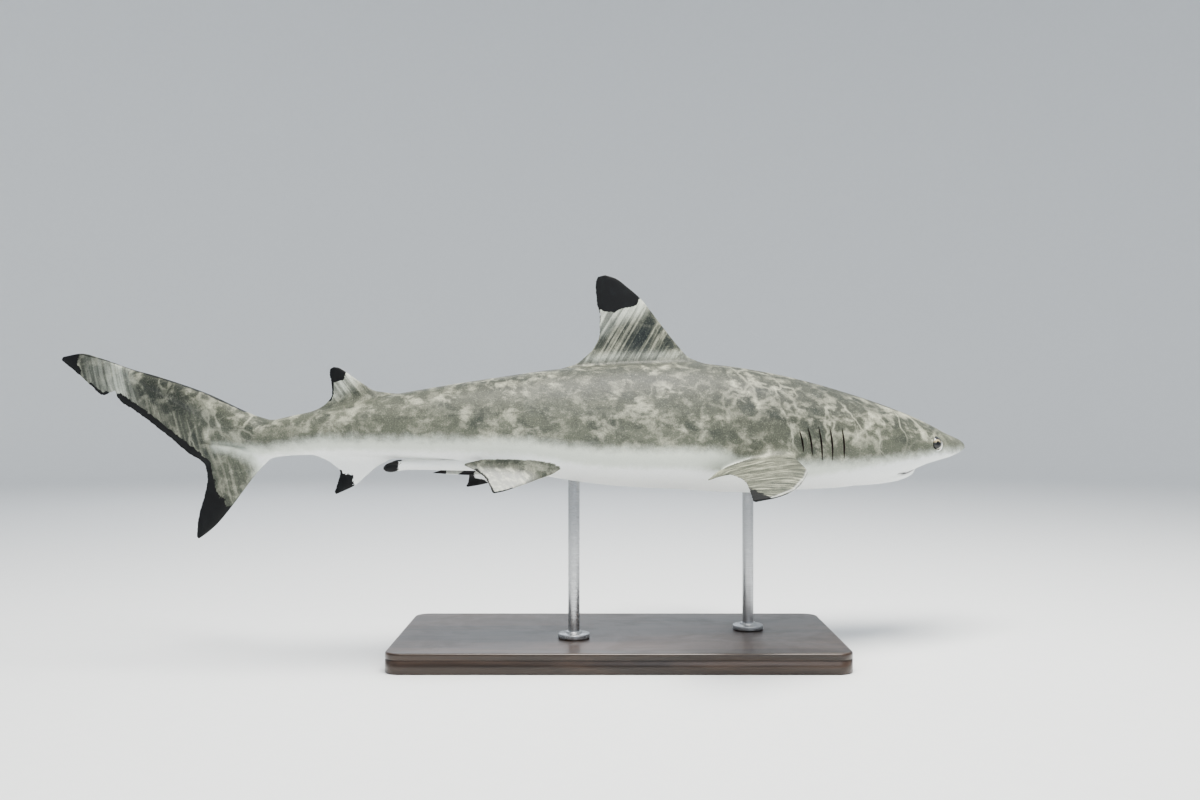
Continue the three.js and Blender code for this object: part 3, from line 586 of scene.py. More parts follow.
def clasper_form(hand):
    """A clasper with the groove that runs along its upper inner side."""
    part = (1 - (1 - np.linspace(0, 1, 90)) ** 1.3)[:, None]
    turn = circle_angles(48)
    groove = bump(np.sin((turn - math.pi / 2 - 0.5 * hand) / 2), 0, 0.12) * smooth(part, 0.2, 0.45)
    radius = clasper_radius(part) * (1 - 0.28 * groove)
    side = hand * CLASPER_SIDE + radius * np.cos(turn)
    up = clasper_up(part) + radius * np.sin(turn)
    return closed_loft(place(clasper_along(part), side, up), "clasper", "claspers")


# ---- what is cut into the skin
def gill_cutter(slit, hand):
    """A thin blade through the flank, leaning forwards under the flap as it goes in."""
    part = np.linspace(0, 1, 30)[:, None]
    up = slit["top"] + (slit["bottom"] - slit["top"]) * part
    along = slit_station(slit, up)
    belly = np.sin(np.clip(part, 0.02, 0.98) * np.pi)
    half = GILL["width"] / 2 / UNIT * (0.2 + 0.8 * belly ** 0.6)
    skin = surface_side(along, up)
    inner = skin - GILL["depth"] / UNIT * (0.12 + 0.88 * belly ** 0.7)
    outer = skin + GILL["depth"] / UNIT
    lean = GILL["lean_in"]
    corners = ((-half - lean, inner), (half - lean, inner), (half + lean, outer), (-half + lean, outer))
    ring = [place(along + shift, hand * side, up) for shift, side in corners]
    return closed_loft(np.concatenate(ring, axis=1), "gill_slit", "hollow")


MOUTH = {"width": 2.2 * MM, "depth": 0.55, "inward": 0.3, "outward": 0.14, "reach": 4.35}
mouth_line = curve([(0, 6.5), (0.6, 6.56), (1.5, 7), (2.5, 7.9), (3.4, 9.1), (4, 10.2),
                    (MOUTH["reach"], 11)])


def mouth_cutter():
    """A ribbon that follows the edge of the lower jaw from corner to corner."""
    side = np.linspace(-1, 1, 121)
    side = (np.sign(side) * np.abs(side) ** 0.85 * MOUTH["reach"])[:, None]
    along = mouth_line(np.abs(side))
    path = np.concatenate((along, side), axis=1)
    tangent = unit(np.gradient(path, axis=0))
    outward = np.stack((-tangent[:, 1], tangent[:, 0]), axis=1)
    crease = underside_up(along, side)
    ends = 1 - np.abs(side) / MOUTH["reach"]
    half = MOUTH["width"] / 2 / UNIT * (0.25 + 0.75 * smooth(ends, 0, 0.35))
    depth = MOUTH["depth"] * (0.25 + 0.75 * smooth(ends, 0, 0.4))
    rows = []
    below, within = (MOUTH["outward"], -0.2), (-MOUTH["inward"], depth)
    for (out, lift), turned in ((below, 1), (below, -1), (within, -1), (within, 1)):
        shift = out + turned * half * 0.85
        rows.append(place(along + outward[:, :1] * shift, side + outward[:, 1:] * shift,
                          crease + lift + turned * half * 0.5))
    return closed_loft(np.concatenate(rows, axis=1), "mouth", "hollow")


NOSTRIL = {"along": 3.2, "side": 1.95, "length": 0.42, "width": 0.13, "depth": 0.32, "slant": 35}


def globe(fall, turn):
    """Points of a ball of radius 1 at angles down from its pole and round it."""
    flat = np.sin(fall)
    return np.stack((flat * np.cos(turn), flat * np.sin(turn), np.cos(fall) + 0 * turn), axis=-1)


def ellipsoid(centre, axes, name, steps=24):
    """A closed ball with three given half axes, in metres."""
    fall = (np.linspace(0.02, 0.98, steps) * np.pi)[:, None]
    grid = np.asarray(centre) + globe(fall, circle_angles(2 * steps)) @ np.asarray(axes)
    return closed_loft(grid, name, "hollow")


def nostril_cutter(hand):
    """A slanting oval pit under the snout."""
    along, side = NOSTRIL["along"], hand * NOSTRIL["side"]
    up = float(underside_up(along, side))
    slant = math.radians(NOSTRIL["slant"])
    centre = place(along, side, up)
    fore = place(along - math.cos(slant), side + hand * math.sin(slant), up) - centre
    cross = place(along + math.sin(slant), side + hand * math.cos(slant), up) - centre
    axes = (fore * NOSTRIL["length"], cross * NOSTRIL["width"], (0, 0, NOSTRIL["depth"] * UNIT))
    return ellipsoid(centre, axes, "nostril")


def eye_frame(hand):
    """The eyeball's centre and its forward, upward and outward directions."""
    side = float(surface_side(EYE["along"], EYE["up"])) - EYE["sunk"] / UNIT
    centre = place(EYE["along"], hand * side, EYE["up"])
    outward = unit(place(EYE["along"], hand * (side + 1), EYE["up"]) - centre)
    up = np.array((0.0, 0.0, 1.0))
    return centre, unit(np.cross(outward, up) * hand), up, outward


def socket_cutters(hand):
    """A ball round the eyeball, and the oval opening between the lids."""
    centre, forward, up, outward = eye_frame(hand)
    ball = np.array((forward, up, outward)) * (EYE["radius"] + 0.2 * MM)
    turn = circle_angles(64)
    rings = []
    for out, grow in ((-6, 0.92), (-2, 0.96), (0.5, 1), (2, 1.05), (5, 1.25)):
        oval = EYE["opening"] * grow * (np.cos(turn)[:, None] * forward + np.sin(turn)[:, None] * up)
        rings.append(centre + outward * (EYE["sunk"] + out * MM) + oval)
    return ellipsoid(centre, ball, "socket"), closed_loft(np.array(rings), "lids", "hollow")


# ---- the skin as one closed surface
def edge_pairs(mesh):
    """The two points of each edge."""
    return mesh_values(mesh.edges, "vertices", 2)


def face_regions(mesh):
    """Each face's region, and each corner's vertex and face."""
    region, size = (mesh_values(mesh.polygons, name) for name in ("material_index", "loop_total"))
    return region, mesh_values(mesh.loops, "vertex_index"), np.repeat(np.arange(len(region)), size)


def soften_seams(mesh, reach):
    """Turns the creases where the forms meet into fillets. reach is each region's fillet, in metres."""
    points = vertex_array(mesh)
    region, vertex, face = face_regions(mesh)
    low = np.full(len(points), 99)
    high = np.full(len(points), -1)
    np.minimum.at(low, vertex, region[face])
    np.maximum.at(high, vertex, region[face])
    seam = np.flatnonzero(high > low)
    tree = KDTree(len(seam))
    for i in seam:
        tree.insert(points[i], i)
    tree.balance()
    widest = max(reach.values())
    weight = np.zeros(len(points))
    near = np.flatnonzero(near_boxes(points, points[seam], widest))
    for i in near:
        _, found, distance = tree.find(points[i])
        weight[i] = max(0.0, 1 - distance / reach[REGIONS[high[found]]])
    weight = smooth(weight)[:, None] * 0.6
    pairs = edge_pairs(mesh)
    active = (weight[pairs[:, 0], 0] > 0) | (weight[pairs[:, 1], 0] > 0)
    a, b = pairs[active].T
    count = np.bincount(a, minlength=len(points)) + np.bincount(b, minlength=len(points))
    count = np.maximum(count, 1)[:, None]
    for _ in range(SMOOTHING_ROUNDS):
        total = np.stack([
            np.bincount(a, points[b, axis], len(points)) + np.bincount(b, points[a, axis], len(points))
            for axis in range(3)], axis=1)
        points += (total / count - points) * weight
    mesh.vertices.foreach_set("co", points.ravel())
    mesh.update()


def near_boxes(points, seeds, reach):
    """Which points share a coarse cell, or a neighbouring one, with a seed."""
    def cell_key(cells):
        return (cells[:, 0] * 4096 + cells[:, 1]) * 4096 + cells[:, 2]
    start = points.min(0) - 2 * reach
    cells = np.floor((points - start) / reach).astype(np.int64)
    seeded = np.unique(np.floor((seeds - start) / reach).astype(np.int64), axis=0)
    steps = np.stack(np.meshgrid((-1, 0, 1), (-1, 0, 1), (-1, 0, 1)), -1).reshape(-1, 3)
    around = np.unique(cell_key((seeded[:, None] + steps).reshape(-1, 3)))
    return np.isin(cell_key(cells), around)


# How far from the body's seam with each region the surface is smoothed.
FILLET = {"fins": 9 * MM, "tail": 6 * MM, "jaw": 3 * MM, "claspers": 4 * MM, "hollow": MM, "body": MM}
SMOOTHING_ROUNDS = 60


def whole_skin():
    """The body with its fins, jaw and claspers joined on, and its openings cut in."""
    skin = body_form()
    spread = [fin_form(name) for name in FINS if name != "lower_lobe"]
    hung = [jaw_form(), fin_form("lower_lobe")] + [clasper_form(hand) for hand in HANDS.values()]
    combine(skin, [joined("fins_apart", spread), joined("forms_under", hung)], "UNION")
    soften_seams(skin.data, FILLET)
    slits = [gill_cutter(slit, hand) for slit in GILL_SLITS for hand in HANDS.values()]
    sockets = [socket_cutters(hand) for hand in HANDS.values()]
    nostrils = [nostril_cutter(hand) for hand in HANDS.values()]
    balls = joined("hollows", slits + nostrils + [mouth_cutter()] + [ball for ball, _ in sockets])
    lids = joined("lid_openings", [lids for _, lids in sockets])
    combine(skin, [balls, lids], "DIFFERENCE")
    return skin


def drop_crumbs(mesh):
    """Removes the few loose slivers that the cuts leave, and keeps the one large surface."""
    pairs = edge_pairs(mesh)
    label = np.arange(len(mesh.vertices))
    while True:
        lowest = np.minimum(label[pairs[:, 0]], label[pairs[:, 1]])
        settled = label.copy()
        np.minimum.at(settled, pairs[:, 0], lowest)
        np.minimum.at(settled, pairs[:, 1], lowest)
        settled = settled[settled]
        if (settled == label).all():
            break
        label = settled
    names, sizes = np.unique(label, return_counts=True)
    loose = np.flatnonzero(label != names[sizes.argmax()])
    if len(loose):
        work = bmesh.new()
        work.from_mesh(mesh)
        work.verts.ensure_lookup_table()
        bmesh.ops.delete(work, geom=[work.verts[i] for i in loose], context="VERTS")
        work.to_mesh(mesh)
        work.free()


# ---- where the markings, the painted shade and the painted highlights lie
# All in body coordinates. Closed outlines and lines of (along, up), or (along, side) on a pectoral.
INK_OUTLINES = {                        # an outline, and how ragged its border is
    "first_dorsal_cap": ([(43.5, 12.85), (41.94, 12.66), (41.3, 12.42), (40.4, 12.36), (39.7, 12.72),
                          (38.9, 12.86), (38.1, 13.12), (37.8, 13.8), (36.6, 14.3), (38, 18), (44, 18)],
                         0.25),
    "second_dorsal_cap": ([(69.5, 5.05), (68.1, 5.3), (67.5, 5.42), (67.1, 5.55), (66.9, 6.25), (66, 7.6),
                           (70, 7.6)], 0.3),
    "anal_cap": ([(69.5, -3.1), (67.5, -3.27), (67.2, -3.55), (66.7, -3.6), (66.25, -3.85),
                  (66.15, -4.7), (65.2, -6.4), (70, -6.4)], 0.7),
    "lower_lobe_cap": ([(84, -3.4), (81.0, -3.0), (80.75, -3.7), (80.4, -4.3), (80.2, -5.2),
                        (79.9, -5.6), (79.75, -6.15), (79.3, -6.1), (79.1, -6.75), (78.45, -6.95),
                        (77.2, -7.6), (81, -11.5), (84, -11.5)], 0.8),
    "tail_tip": ([(97.0, 9.4), (97.35, 8.3), (97.6, 7.4), (97.2, 6.6), (97.2, 5.5), (101, 5.5),
                  (101, 9.4)], 0.8),
}
INK_LINES = {                           # a line, how far the black reaches from it and how ragged it is
    "tail_rear_margin": ([(92.0, 3.6), (91.6, 3.32), (90, 2.52), (87.8, 1.23), (85.4, -0.32),
                          (82.5, -2.2), (81.5, -2.95), (81.2, -4.3)], 0.72, 0.5),
    "tail_notch_margin": ([(93.6, 4.2), (94.2, 4.08), (95.0, 4.5), (95.8, 5.1)], 0.28, 0.4),
    "tail_upper_margin": ([(77, 2.4), (81.45, 4.27), (84.3, 5.17), (90.2, 6.66), (93.8, 7.68),
                           (97.4, 8.4)], 0.05, 0.1),
    "second_dorsal_rear": ([(68.3, 5.2), (68.25, 4.2), (68.5, 3.6)], 0.16, 0.2),
    "first_dorsal_rear": ([(41.95, 12.8), (41.85, 12.1), (41.85, 11.4)], 0.07, 0.1),
}
PAIRED_RAGGED = {"pectoral": 0.9, "pelvic": 0.3, "clasper": 1.3}
NO_INK = -9.0                           # a distance that is outside every marking
PECTORAL_INK = {                        # on the upper and on the lower face, in (along, side out)
    "upper": [(35, 15.4), (32.4, 15.7), (32.15, 17), (31.9, 18.1), (31.5, 18.8), (31, 19.3),
              (30, 21), (35, 21)],
    "lower": [(35, 16.6), (32.2, 16.0), (31.2, 16.6), (30.2, 17.0), (29.0, 17.2), (30, 21), (35, 21)],
}
PELVIC_INK = {                          # in (along, up), before the left fin's trail
    "upper": ([(53.0, -5.0), (53.15, -4.6), (53.5, -3.85), (54.3, -3.15)], 0.17),
    "lower": [(54.9, -2.6), (54.5, -2.75), (54.1, -3.35), (53.4, -3.95), (52.4, -4.45), (51.4, -4.6),
              (50.6, -4.9), (52, -6), (55.2, -5)],
}
LEFT_PELVIC = {"trail": 2.1, "free_tip": 57.2}   # how far back it reaches, where its tip turns black
CLASPER_INK_FROM = 61.6
# The grey ends at one level and the white belly starts at a lower one, with a pale band between.
grey_border = curve([(0, -1.62), (1.5, -1.85), (6, -1.85), (9.3, -2.2), (13, -2.5), (17, -2.75),
                     (22, -2.75), (29, -2.4), (32, -1.35), (42, -1.2), (52, -0.25), (68, -0.2),
                     (74, -1.05)])
white_border = curve([(0, -1.75), (1.5, -1.95), (6, -2.0), (9.3, -2.45), (13, -2.9), (17, -3.5),
                      (22, -4), (29, -3.9), (34, -3.1), (42, -2.9), (52, -1.5), (68, -1.3), (74, -1.8)])
# The white wedge that runs from the stalk onto the tail, and the width of the pale band round it.
STALK_WHITE = [(68, -0.2), (74, -1.05), (78, -1.0), (80.35, -1.0), (78.3, -1.5), (76.41, -2.28),
               (76.05, -3.1), (75.9, -4), (68, -6)]
STALK_BAND = 0.75
# The middle of the first dorsal fin: a dusky patch, partly painted shade.
DORSAL_DUSK_AND_SHADE = {"along": 39.2, "up": 9.9, "spread_along": 3.8, "spread_up": 1.7}
lateral_line = curve([(9, 0.6), (13, 1.5), (20, 2.5), (28, 3), (38, 2.9), (48, 2.5), (58, 2), (66, 1.5),
                      (76, 0.8)])


def line_distance(points, line):
    """Distance of each point from an open line of points in the plane."""
    nearest = np.full(len(points), np.inf)
    for start, end in zip(np.array(line[:-1], float), np.array(line[1:], float)):
        along = end - start
        part = np.clip(((points - start) @ along) / (along @ along), 0, 1)
        nearest = np.minimum(nearest, np.linalg.norm(points - start - part[:, None] * along, axis=1))
    return nearest


def outline_distance(points, outline):
    """Distance inside a closed outline, negative outside it."""
    ring = np.array(outline + outline[:1], float)
    inside = np.zeros(len(points), bool)
    for (x0, y0), (x1, y1) in zip(ring[:-1], ring[1:]):
        if y0 == y1:
            continue
        crosses = (points[:, 1] > min(y0, y1)) & (points[:, 1] <= max(y0, y1))
        inside ^= crosses & (points[:, 0] < x0 + (points[:, 1] - y0) * (x1 - x0) / (y1 - y0))
    return line_distance(points, outline + outline[:1]) * np.where(inside, 1, -1)


def body_reach(coordinates):
    """How far each point stands outside the bare body's form, in per cent."""
    along, side, up = coordinates.T
    width, level, reach, power = quadrant(along, lambda level: up >= level)
    ratio = ((np.abs(side) / width) ** power + (np.abs(up - level) / reach) ** power) ** (1 / power)
    size = np.hypot(side, up - level)
    return np.where(along > SNOUT_STATION, size * (1 - 1 / np.maximum(ratio, 1e-6)), 0)


def on_pectoral(along, out):
    """Which points lie on the outer part of a pectoral fin, given how far out they are."""
    return (out > 8) & (along < 36)


def on_pelvic(along, out, up):
    """Which points lie on a pelvic fin."""
    return (out > 2.3) & (along > 44) & (along < 60) & (up < -2.2)


def on_clasper(along, out, up, start, inside, outside):
    """Which points lie on a clasper, from a station on and between two distances from the middle."""
    return (along > start) & (along < 64) & (up < underside(along) - 0.1) & (out > inside) & (out < outside)


def pelvic_ink(along, side, up, above):
    """The black on a pelvic fin, which the left one carries further back."""
    back_by = np.where(side > 0, LEFT_PELVIC["trail"] * smooth(-up, 3.0, 5.0), 0)
    hung = np.stack((along - back_by, up), axis=1)
    line, width = PELVIC_INK["upper"]
    lower = outline_distance(hung, PELVIC_INK["lower"])
    dark = np.where(above, width - line_distance(hung, line), lower)
    return np.where(side > 0, np.maximum(dark, along - LEFT_PELVIC["free_tip"]), dark)


def ink_field(coordinates, normals, reach):
    """Distance inside the black markings, in per cent, negative outside them, and how ragged they are."""
    along, side, up = coordinates.T
    out = np.abs(side)
    above = normals[:, 2] > 0
    flank = np.stack((along, up), axis=1)
    plan = np.stack((along, out), axis=1)
    ink = np.full(len(along), NO_INK)
    ragged = np.zeros(len(along))
    shapes = [(outline_distance(flank, outline), rough) for outline, rough in INK_OUTLINES.values()]
    shapes += [(width - line_distance(flank, line), rough) for line, width, rough in INK_LINES.values()]
    for inside, rough in shapes:
        ragged = np.where(inside > ink, rough, ragged)
        ink = np.maximum(ink, inside)
    ink = np.where((reach > 0.1) | (along > STALK_END), ink, NO_INK)
    pectoral = np.where(above, *(outline_distance(plan, PECTORAL_INK[face]) for face in ("upper", "lower")))
    places = [on_pectoral(along, out), on_pelvic(along, out, up), on_clasper(along, out, up, 56, 0.75, 2.3)]
    marks = [pectoral, pelvic_ink(along, side, up, above), along - CLASPER_INK_FROM]
    return np.select(places, marks, ink), np.select(places, list(PAIRED_RAGGED.values()), ragged)


def border_fields(coordinates, normals, reach, paired, on_fin, clasper):
    """How far each point is inside the grey, and above the white: by level, or by face on paired fins."""
    along, _, up = coordinates.T
    upper = smooth(normals[:, 2], -0.85, -0.55) * 6 - 3
    blend = np.maximum(smooth(reach, 0.1, 0.8), on_fin) * paired
    grey = (up - grey_border(along)) * (1 - blend) + upper * blend
    white = (up - white_border(along)) * (1 - blend) + upper * blend
    wedge = outline_distance(np.stack((along, up), axis=1), STALK_WHITE)
    tail = along > STALK_END - 0.4
    grey = np.where(tail, -wedge, np.where(clasper, -2, grey))
    return grey, np.where(tail, STALK_BAND - wedge, white)


def band_field(along, up, reach, ink, fin):
    """Pale bands below the dorsal fins' black tips, along the first one's foot and before the tail's tip."""
    dorsal = (up > 2) & (along < STALK_END)
    near_tip = 0.9 * bump(along, 91.8, 1.6) + 0.3 * bump(along, 95, 1.5)
    foot = 0.6 * bump(reach, 0.75, 0.45) * dorsal * (along < 50)
    return smooth(ink, -1.9, -0.2) * fin * dorsal + near_tip + foot


def dusk_and_shade_field(along, out, up, reach):
    """Dusky places: the middle of the first dorsal fin, partly painted shade, and the outer part of the
    pectorals.
    """
    spot = DORSAL_DUSK_AND_SHADE
    dusk = bump(along, spot["along"], spot["spread_along"]) * bump(up, spot["up"], spot["spread_up"])
    dusk = np.minimum(1.5 * dusk, 1) * (reach > 0.6)
    outer = smooth(out, 15, 19) * smooth(along - 0.42 * out, 22.5, 25.5) * (along < 36)
    return np.maximum(dusk, outer * 0.8)


def pale_and_highlight_field(along, out, up, reach, paired):
    """Pale places: a painted highlight on the front half of the eye's rim, the pectorals' leading edge, and
    the pelvic fins.
    """
    from_eye = np.hypot(along - EYE["along"], up - EYE["up"]) * UNIT
    # painted highlight: a pale arc on the front half of the eye's rim
    pale = bump(from_eye, EYE["opening"] + 0.9 * MM, 1.2 * MM) * smooth(EYE["along"] + 0.4 - along, 0, 0.4)
    edge = np.array(FINS["pectoral_right"]["front"])[:, 1:3] * (1, -1)
    leading = line_distance(np.stack((along, out), axis=1), edge)
    pale = np.maximum(pale, 0.4 * bump(leading, 0, 0.08) * smooth(out, 7, 9) * (along < 36))
    return np.maximum(pale, 0.28 * smooth(reach, 0.7, 2) * paired * smooth(along, 48, 51))


def crease_shade_field(along, side, up):
    """Painted shade: a dark line along the crease of the closed mouth."""
    lips = np.linspace(0, MOUTH["reach"], 40)
    lips = np.stack((mouth_line(lips), lips), axis=1)
    crease = bump(line_distance(np.stack((along, np.abs(side)), axis=1), lips), 0, 0.13) * (along < 12)
    return crease * bump(up, underside_up(along, side), 0.2)


def ray_field(along, out, up, paired):
    """A coordinate that runs across a fin's rays."""
    pectoral, pelvic = 1.3 * out + 0.3 * along, along + 0.45 * out
    lean = np.select([along > STALK_END, (up > 5) & (along < 50)], [0.25, -0.6], 0.75 * np.sign(up + 0.5))
    return np.where(paired, np.where(along < 40, pectoral, pelvic), along - lean * up)


def paint_fields(skin):
    """Stores what the skin's material reads: place on the body, markings, painted shade and highlights, fin
    rays and hollows.
    """
    mesh = skin.data
    coordinates = body_coordinates(vertex_array(mesh))
    along, side, up = coordinates.T
    out = np.abs(side)
    normals = mesh_values(mesh.vertices, "normal", 3, float)
    reach = body_reach(coordinates)
    region, vertex, face = face_regions(mesh)
    on_fin = np.ones(len(along), bool)
    on_fin[vertex[region[face] != REGIONS.index("fins")]] = False
    paired = (out > 2.2) & (((along > 21) & (along < 36)) | ((along > 44) & (along < 60)))
    paired = paired & (on_fin | (reach > 0.1))
    clasper = on_clasper(along, out, up, 51, -1, 2.6)
    grey, white = border_fields(coordinates, normals, reach, paired, on_fin, clasper)
    on_tail = np.where(along > STALK_END - 0.4, 0.5, 1)
    fin = smooth(reach, 0.25, 1.4) * ~clasper * (up > -3.5 - 10 * (along > 20)) * on_tail
    ink, ragged = ink_field(coordinates, normals, reach)
    fields = {
        "grey": grey, "white": white, "ink": ink, "ragged": ragged, "fin": fin,
        "band": band_field(along, up, reach, ink, fin),
        "ray": ray_field(along, out, up, paired),
        # dusk holds dusky places and painted shade on the first dorsal fin, pale a painted highlight on the
        # eye's rim, crease painted shade along the mouth
        "dusk": dusk_and_shade_field(along, out, up, reach),
        "pale": pale_and_highlight_field(along, out, up, reach, paired),
        "lateral": np.where(reach < 0.3, up - lateral_line(along), 9),
        "crease": crease_shade_field(along, side, up),
    }
    for name, values in fields.items():
        stored = mesh.attributes.new(name, "FLOAT", "POINT")
        stored.data.foreach_set("value", values.astype(np.float32))
    mesh.attributes.new("body", "FLOAT_VECTOR", "POINT").data.foreach_set("vector", coordinates.ravel())
    hollow = mesh.attributes.new("hollow", "FLOAT", "FACE")
    hollow.data.foreach_set("value", (region == REGIONS.index("hollow")).astype(np.float32))
    lay_out_map(mesh, coordinates)
    mesh.materials.clear()
    mesh.polygons.foreach_set("material_index", np.zeros(len(mesh.polygons), np.int32))


# The skin's flat map, in per cent of the length: each patch's low corner in a square 100 wide.
MAP_CORNERS = {
    "body": (1, 2), "hollow": (1, 85), "tail_left": (1, 45), "tail_right": (29, 45),
    "first_left": (57, 45), "first_right": (57, 57), "second_left": (77, 70), "second_right": (88, 70),
    "anal_left": (77, 77), "anal_right": (88, 77), "clasper_left": (77, 50), "clasper_right": (77, 45),
    "pectoral_right_top": (1, 67), "pectoral_right_low": (14, 67), "pectoral_left_top": (27, 67),
    "pectoral_left_low": (40, 67), "pelvic_right_top": (53, 70), "pelvic_right_low": (65, 70),
    "pelvic_left_top": (53, 77), "pelvic_left_low": (65, 77),
}
BODY_MAP_HEIGHT = 33                    # of the body's patch, rolled out
HOLLOW_MAP_SCALE = 0.28


def lay_out_map(mesh, coordinates):
    """The skin's unwrapped map: the body rolled out, and each fin's two faces."""
    region, vertex, face = face_regions(mesh)
    along, side, up = coordinates[vertex].T
    out = np.abs(side)
    count = np.bincount(face)
    station, offset, height = ((np.bincount(face, column) / count)[face] for column in (along, side, up))
    faces_up = mesh_values(mesh.polygons, "normal", 3, float)[face, 2] > 0
    kind = np.array(REGIONS)[region][face]
    turn = np.arctan2(up - widest_level(np.clip(along, 0, STALK_END)), side)
    turn = np.where(turn < -np.pi / 2, turn + 2 * np.pi, turn)
    first = np.minimum.reduceat(turn, np.r_[0, np.cumsum(count)[:-1]])[face]
    turn = np.where(turn - first > np.pi, turn - 2 * np.pi, turn)
    flat = np.stack((along, (turn + np.pi) / (2 * np.pi) * BODY_MAP_HEIGHT - 8), axis=1)
    corner = np.array([MAP_CORNERS["body"]] * len(along), float)

    def patch(name, chosen, across, over):
        corner[chosen] = MAP_CORNERS[name]
        flat[chosen] = np.stack((across, over), axis=1)[chosen]

    clasper_turn = np.arctan2(up + 2.75, np.abs(out - CLASPER_SIDE))
    fins = kind == "fins"
    for hand, on_hand in (("left", offset > 0), ("right", offset <= 0)):
        for facing, shown in (("top", fins & on_hand & faces_up), ("low", fins & on_hand & ~faces_up)):
            pectoral = shown & (station < 37) & (height < 0)
            pelvic = shown & (station > 40) & (station < 60) & (height < 0)
            patch(f"pectoral_{hand}_{facing}", pectoral, along - 22.5, out - 4)
            patch(f"pelvic_{hand}_{facing}", pelvic, along - 45, -up - 0.8)
        mine = fins & on_hand
        patch(f"first_{hand}", mine & (height > 5) & (station < 50), along - 29, up - 5.5)
        patch(f"second_{hand}", mine & (height > 0) & (station > 55), along - 61, up - 1.5)
        patch(f"anal_{hand}", mine & (height < 0) & (station > 60), along - 61.5, -up - 1)
        patch(f"tail_{hand}", (kind == "tail") & on_hand, along - 73.5, up + 10.5)
        patch(f"clasper_{hand}", (kind == "claspers") & on_hand, along - 50, clasper_turn + 2)
    hollow = kind == "hollow"
    corner[hollow] = MAP_CORNERS["hollow"]
    flat[hollow] *= (1, HOLLOW_MAP_SCALE)
    layer = mesh.uv_layers.new(name="OFBake")
    layer.data.foreach_set("uv", ((corner + flat) / 100).astype(np.float32).ravel())


# ---- shader nodes
def srgb(red, green, blue):
    """A colour given on the usual 0 to 255 scale, as the linear values that shaders take."""
    def linear(value):
        v = value / 255
        return v / 12.92 if v <= 0.04045 else ((v + 0.055) / 1.055) ** 2.4
    return tuple(linear(value) for value in (red, green, blue))


class Nodes:
    """Short names for the nodes that the finishes are made of, all placed in one node tree."""

    def __init__(self, tree):
        self.tree = tree

    def add(self, kind, inputs=None, output=0, **settings):
        made = self.tree.nodes.new(kind)
        for name, value in settings.items():
            setattr(made, name, value)
        for name, value in (inputs or {}).items():
            self.feed(made.inputs[name], value)
        return made.outputs[output]

    def feed(self, socket, value):
        if isinstance(value, bpy.types.NodeSocket):
            self.tree.links.new(value, socket)
        elif hasattr(socket.default_value, "__len__") and hasattr(value, "__len__"):
            socket.default_value = tuple(value) + (1.0,) * (len(socket.default_value) - len(value))
        else:
            socket.default_value = value

    def maths(self, operation, a, b=0.0):
        return self.add("ShaderNodeMath", {0: a, 1: b}, operation=operation)

    def times(self, a, *others):
        for b in others:
            a = self.maths("MULTIPLY", a, b)
        return a

    def plus(self, a, b):
        return self.maths("ADD", a, b)

    def centred_noise(self, *settings):
        """A noise that runs from -0.5 to 0.5."""
        return self.maths("SUBTRACT", self.noise(*settings), 0.5)

    def field(self, name, output="Fac"):
        return self.add("ShaderNodeAttribute", output=output, attribute_name=name)

    def noise(self, vector, scale, detail=3.0, roughness=0.55, distortion=0.0):
        inputs = {"Vector": vector, "Scale": scale, "Detail": detail, "Roughness": roughness,
                  "Distortion": distortion}
        return self.add("ShaderNodeTexNoise", inputs)

    def cells(self, vector, scale, randomness=1.0):
        inputs = {"Vector": vector, "Scale": scale, "Randomness": randomness}
        return self.add("ShaderNodeTexVoronoi", inputs)

    def stretch(self, vector, scale):
        return self.add("ShaderNodeMapping", {"Vector": vector, "Scale": scale})

    def warp(self, vector, scale, amount):
        """The vector pushed about by a noise, by up to half the amount either way."""
        push = self.add("ShaderNodeTexNoise", {"Vector": vector, "Scale": scale, "Detail": 2.0}, "Color")
        inputs = {0: push, 1: (amount, amount, amount), 2: vector}
        return self.add("ShaderNodeVectorMath", inputs, operation="MULTIPLY_ADD")

    def ease(self, value, low, high, start=0.0, end=1.0):
        inputs = {"Value": value, "From Min": low, "From Max": high, "To Min": start, "To Max": end}
        return self.add("ShaderNodeMapRange", inputs, interpolation_type="SMOOTHSTEP")

    def blend(self, factor, a, b):
        made = self.tree.nodes.new("ShaderNodeMix")
        made.data_type = "RGBA"
        self.feed(made.inputs[0], factor)
        self.feed(made.inputs[6], a)
        self.feed(made.inputs[7], b)
        return made.outputs[2]

    def pack(self, x, y):
        return self.add("ShaderNodeCombineXYZ", {0: x, 1: y})

    def place(self):
        """The place on a piece, in metres."""
        return self.add("ShaderNodeTexCoord", output="Object")

    def axis(self, vector, index):
        return self.add("ShaderNodeSeparateXYZ", {0: vector}, output=index)

    def relief(self, height, distance, strength):
        return self.add("ShaderNodeBump", {"Height": height, "Distance": distance, "Strength": strength})

    def use(self, group, inputs, output=0):
        made = self.tree.nodes.new("ShaderNodeGroup")
        made.node_tree = group
        for name, value in inputs.items():
            self.feed(made.inputs[name], value)
        return made.outputs[output]


def effect_group(name, inputs, outputs, build):
    """A shader node group made once: build fills it and returns its outputs by name."""
    known = bpy.data.node_groups.get(name)
    if known:
        return known
    group = bpy.data.node_groups.new(name, "ShaderNodeTree")
    for title, kind, default in inputs:
        socket = group.interface.new_socket(name=title, in_out="INPUT", socket_type=f"NodeSocket{kind}")
        if default is not None:
            socket.default_value = default
    for title, kind in outputs:
        group.interface.new_socket(name=title, in_out="OUTPUT", socket_type=f"NodeSocket{kind}")
    entry = group.nodes.new("NodeGroupInput").outputs
    leave = group.nodes.new("NodeGroupOutput").inputs
    for title, socket in build(Nodes(group), entry).items():
        group.links.new(socket, leave[title])
    return group


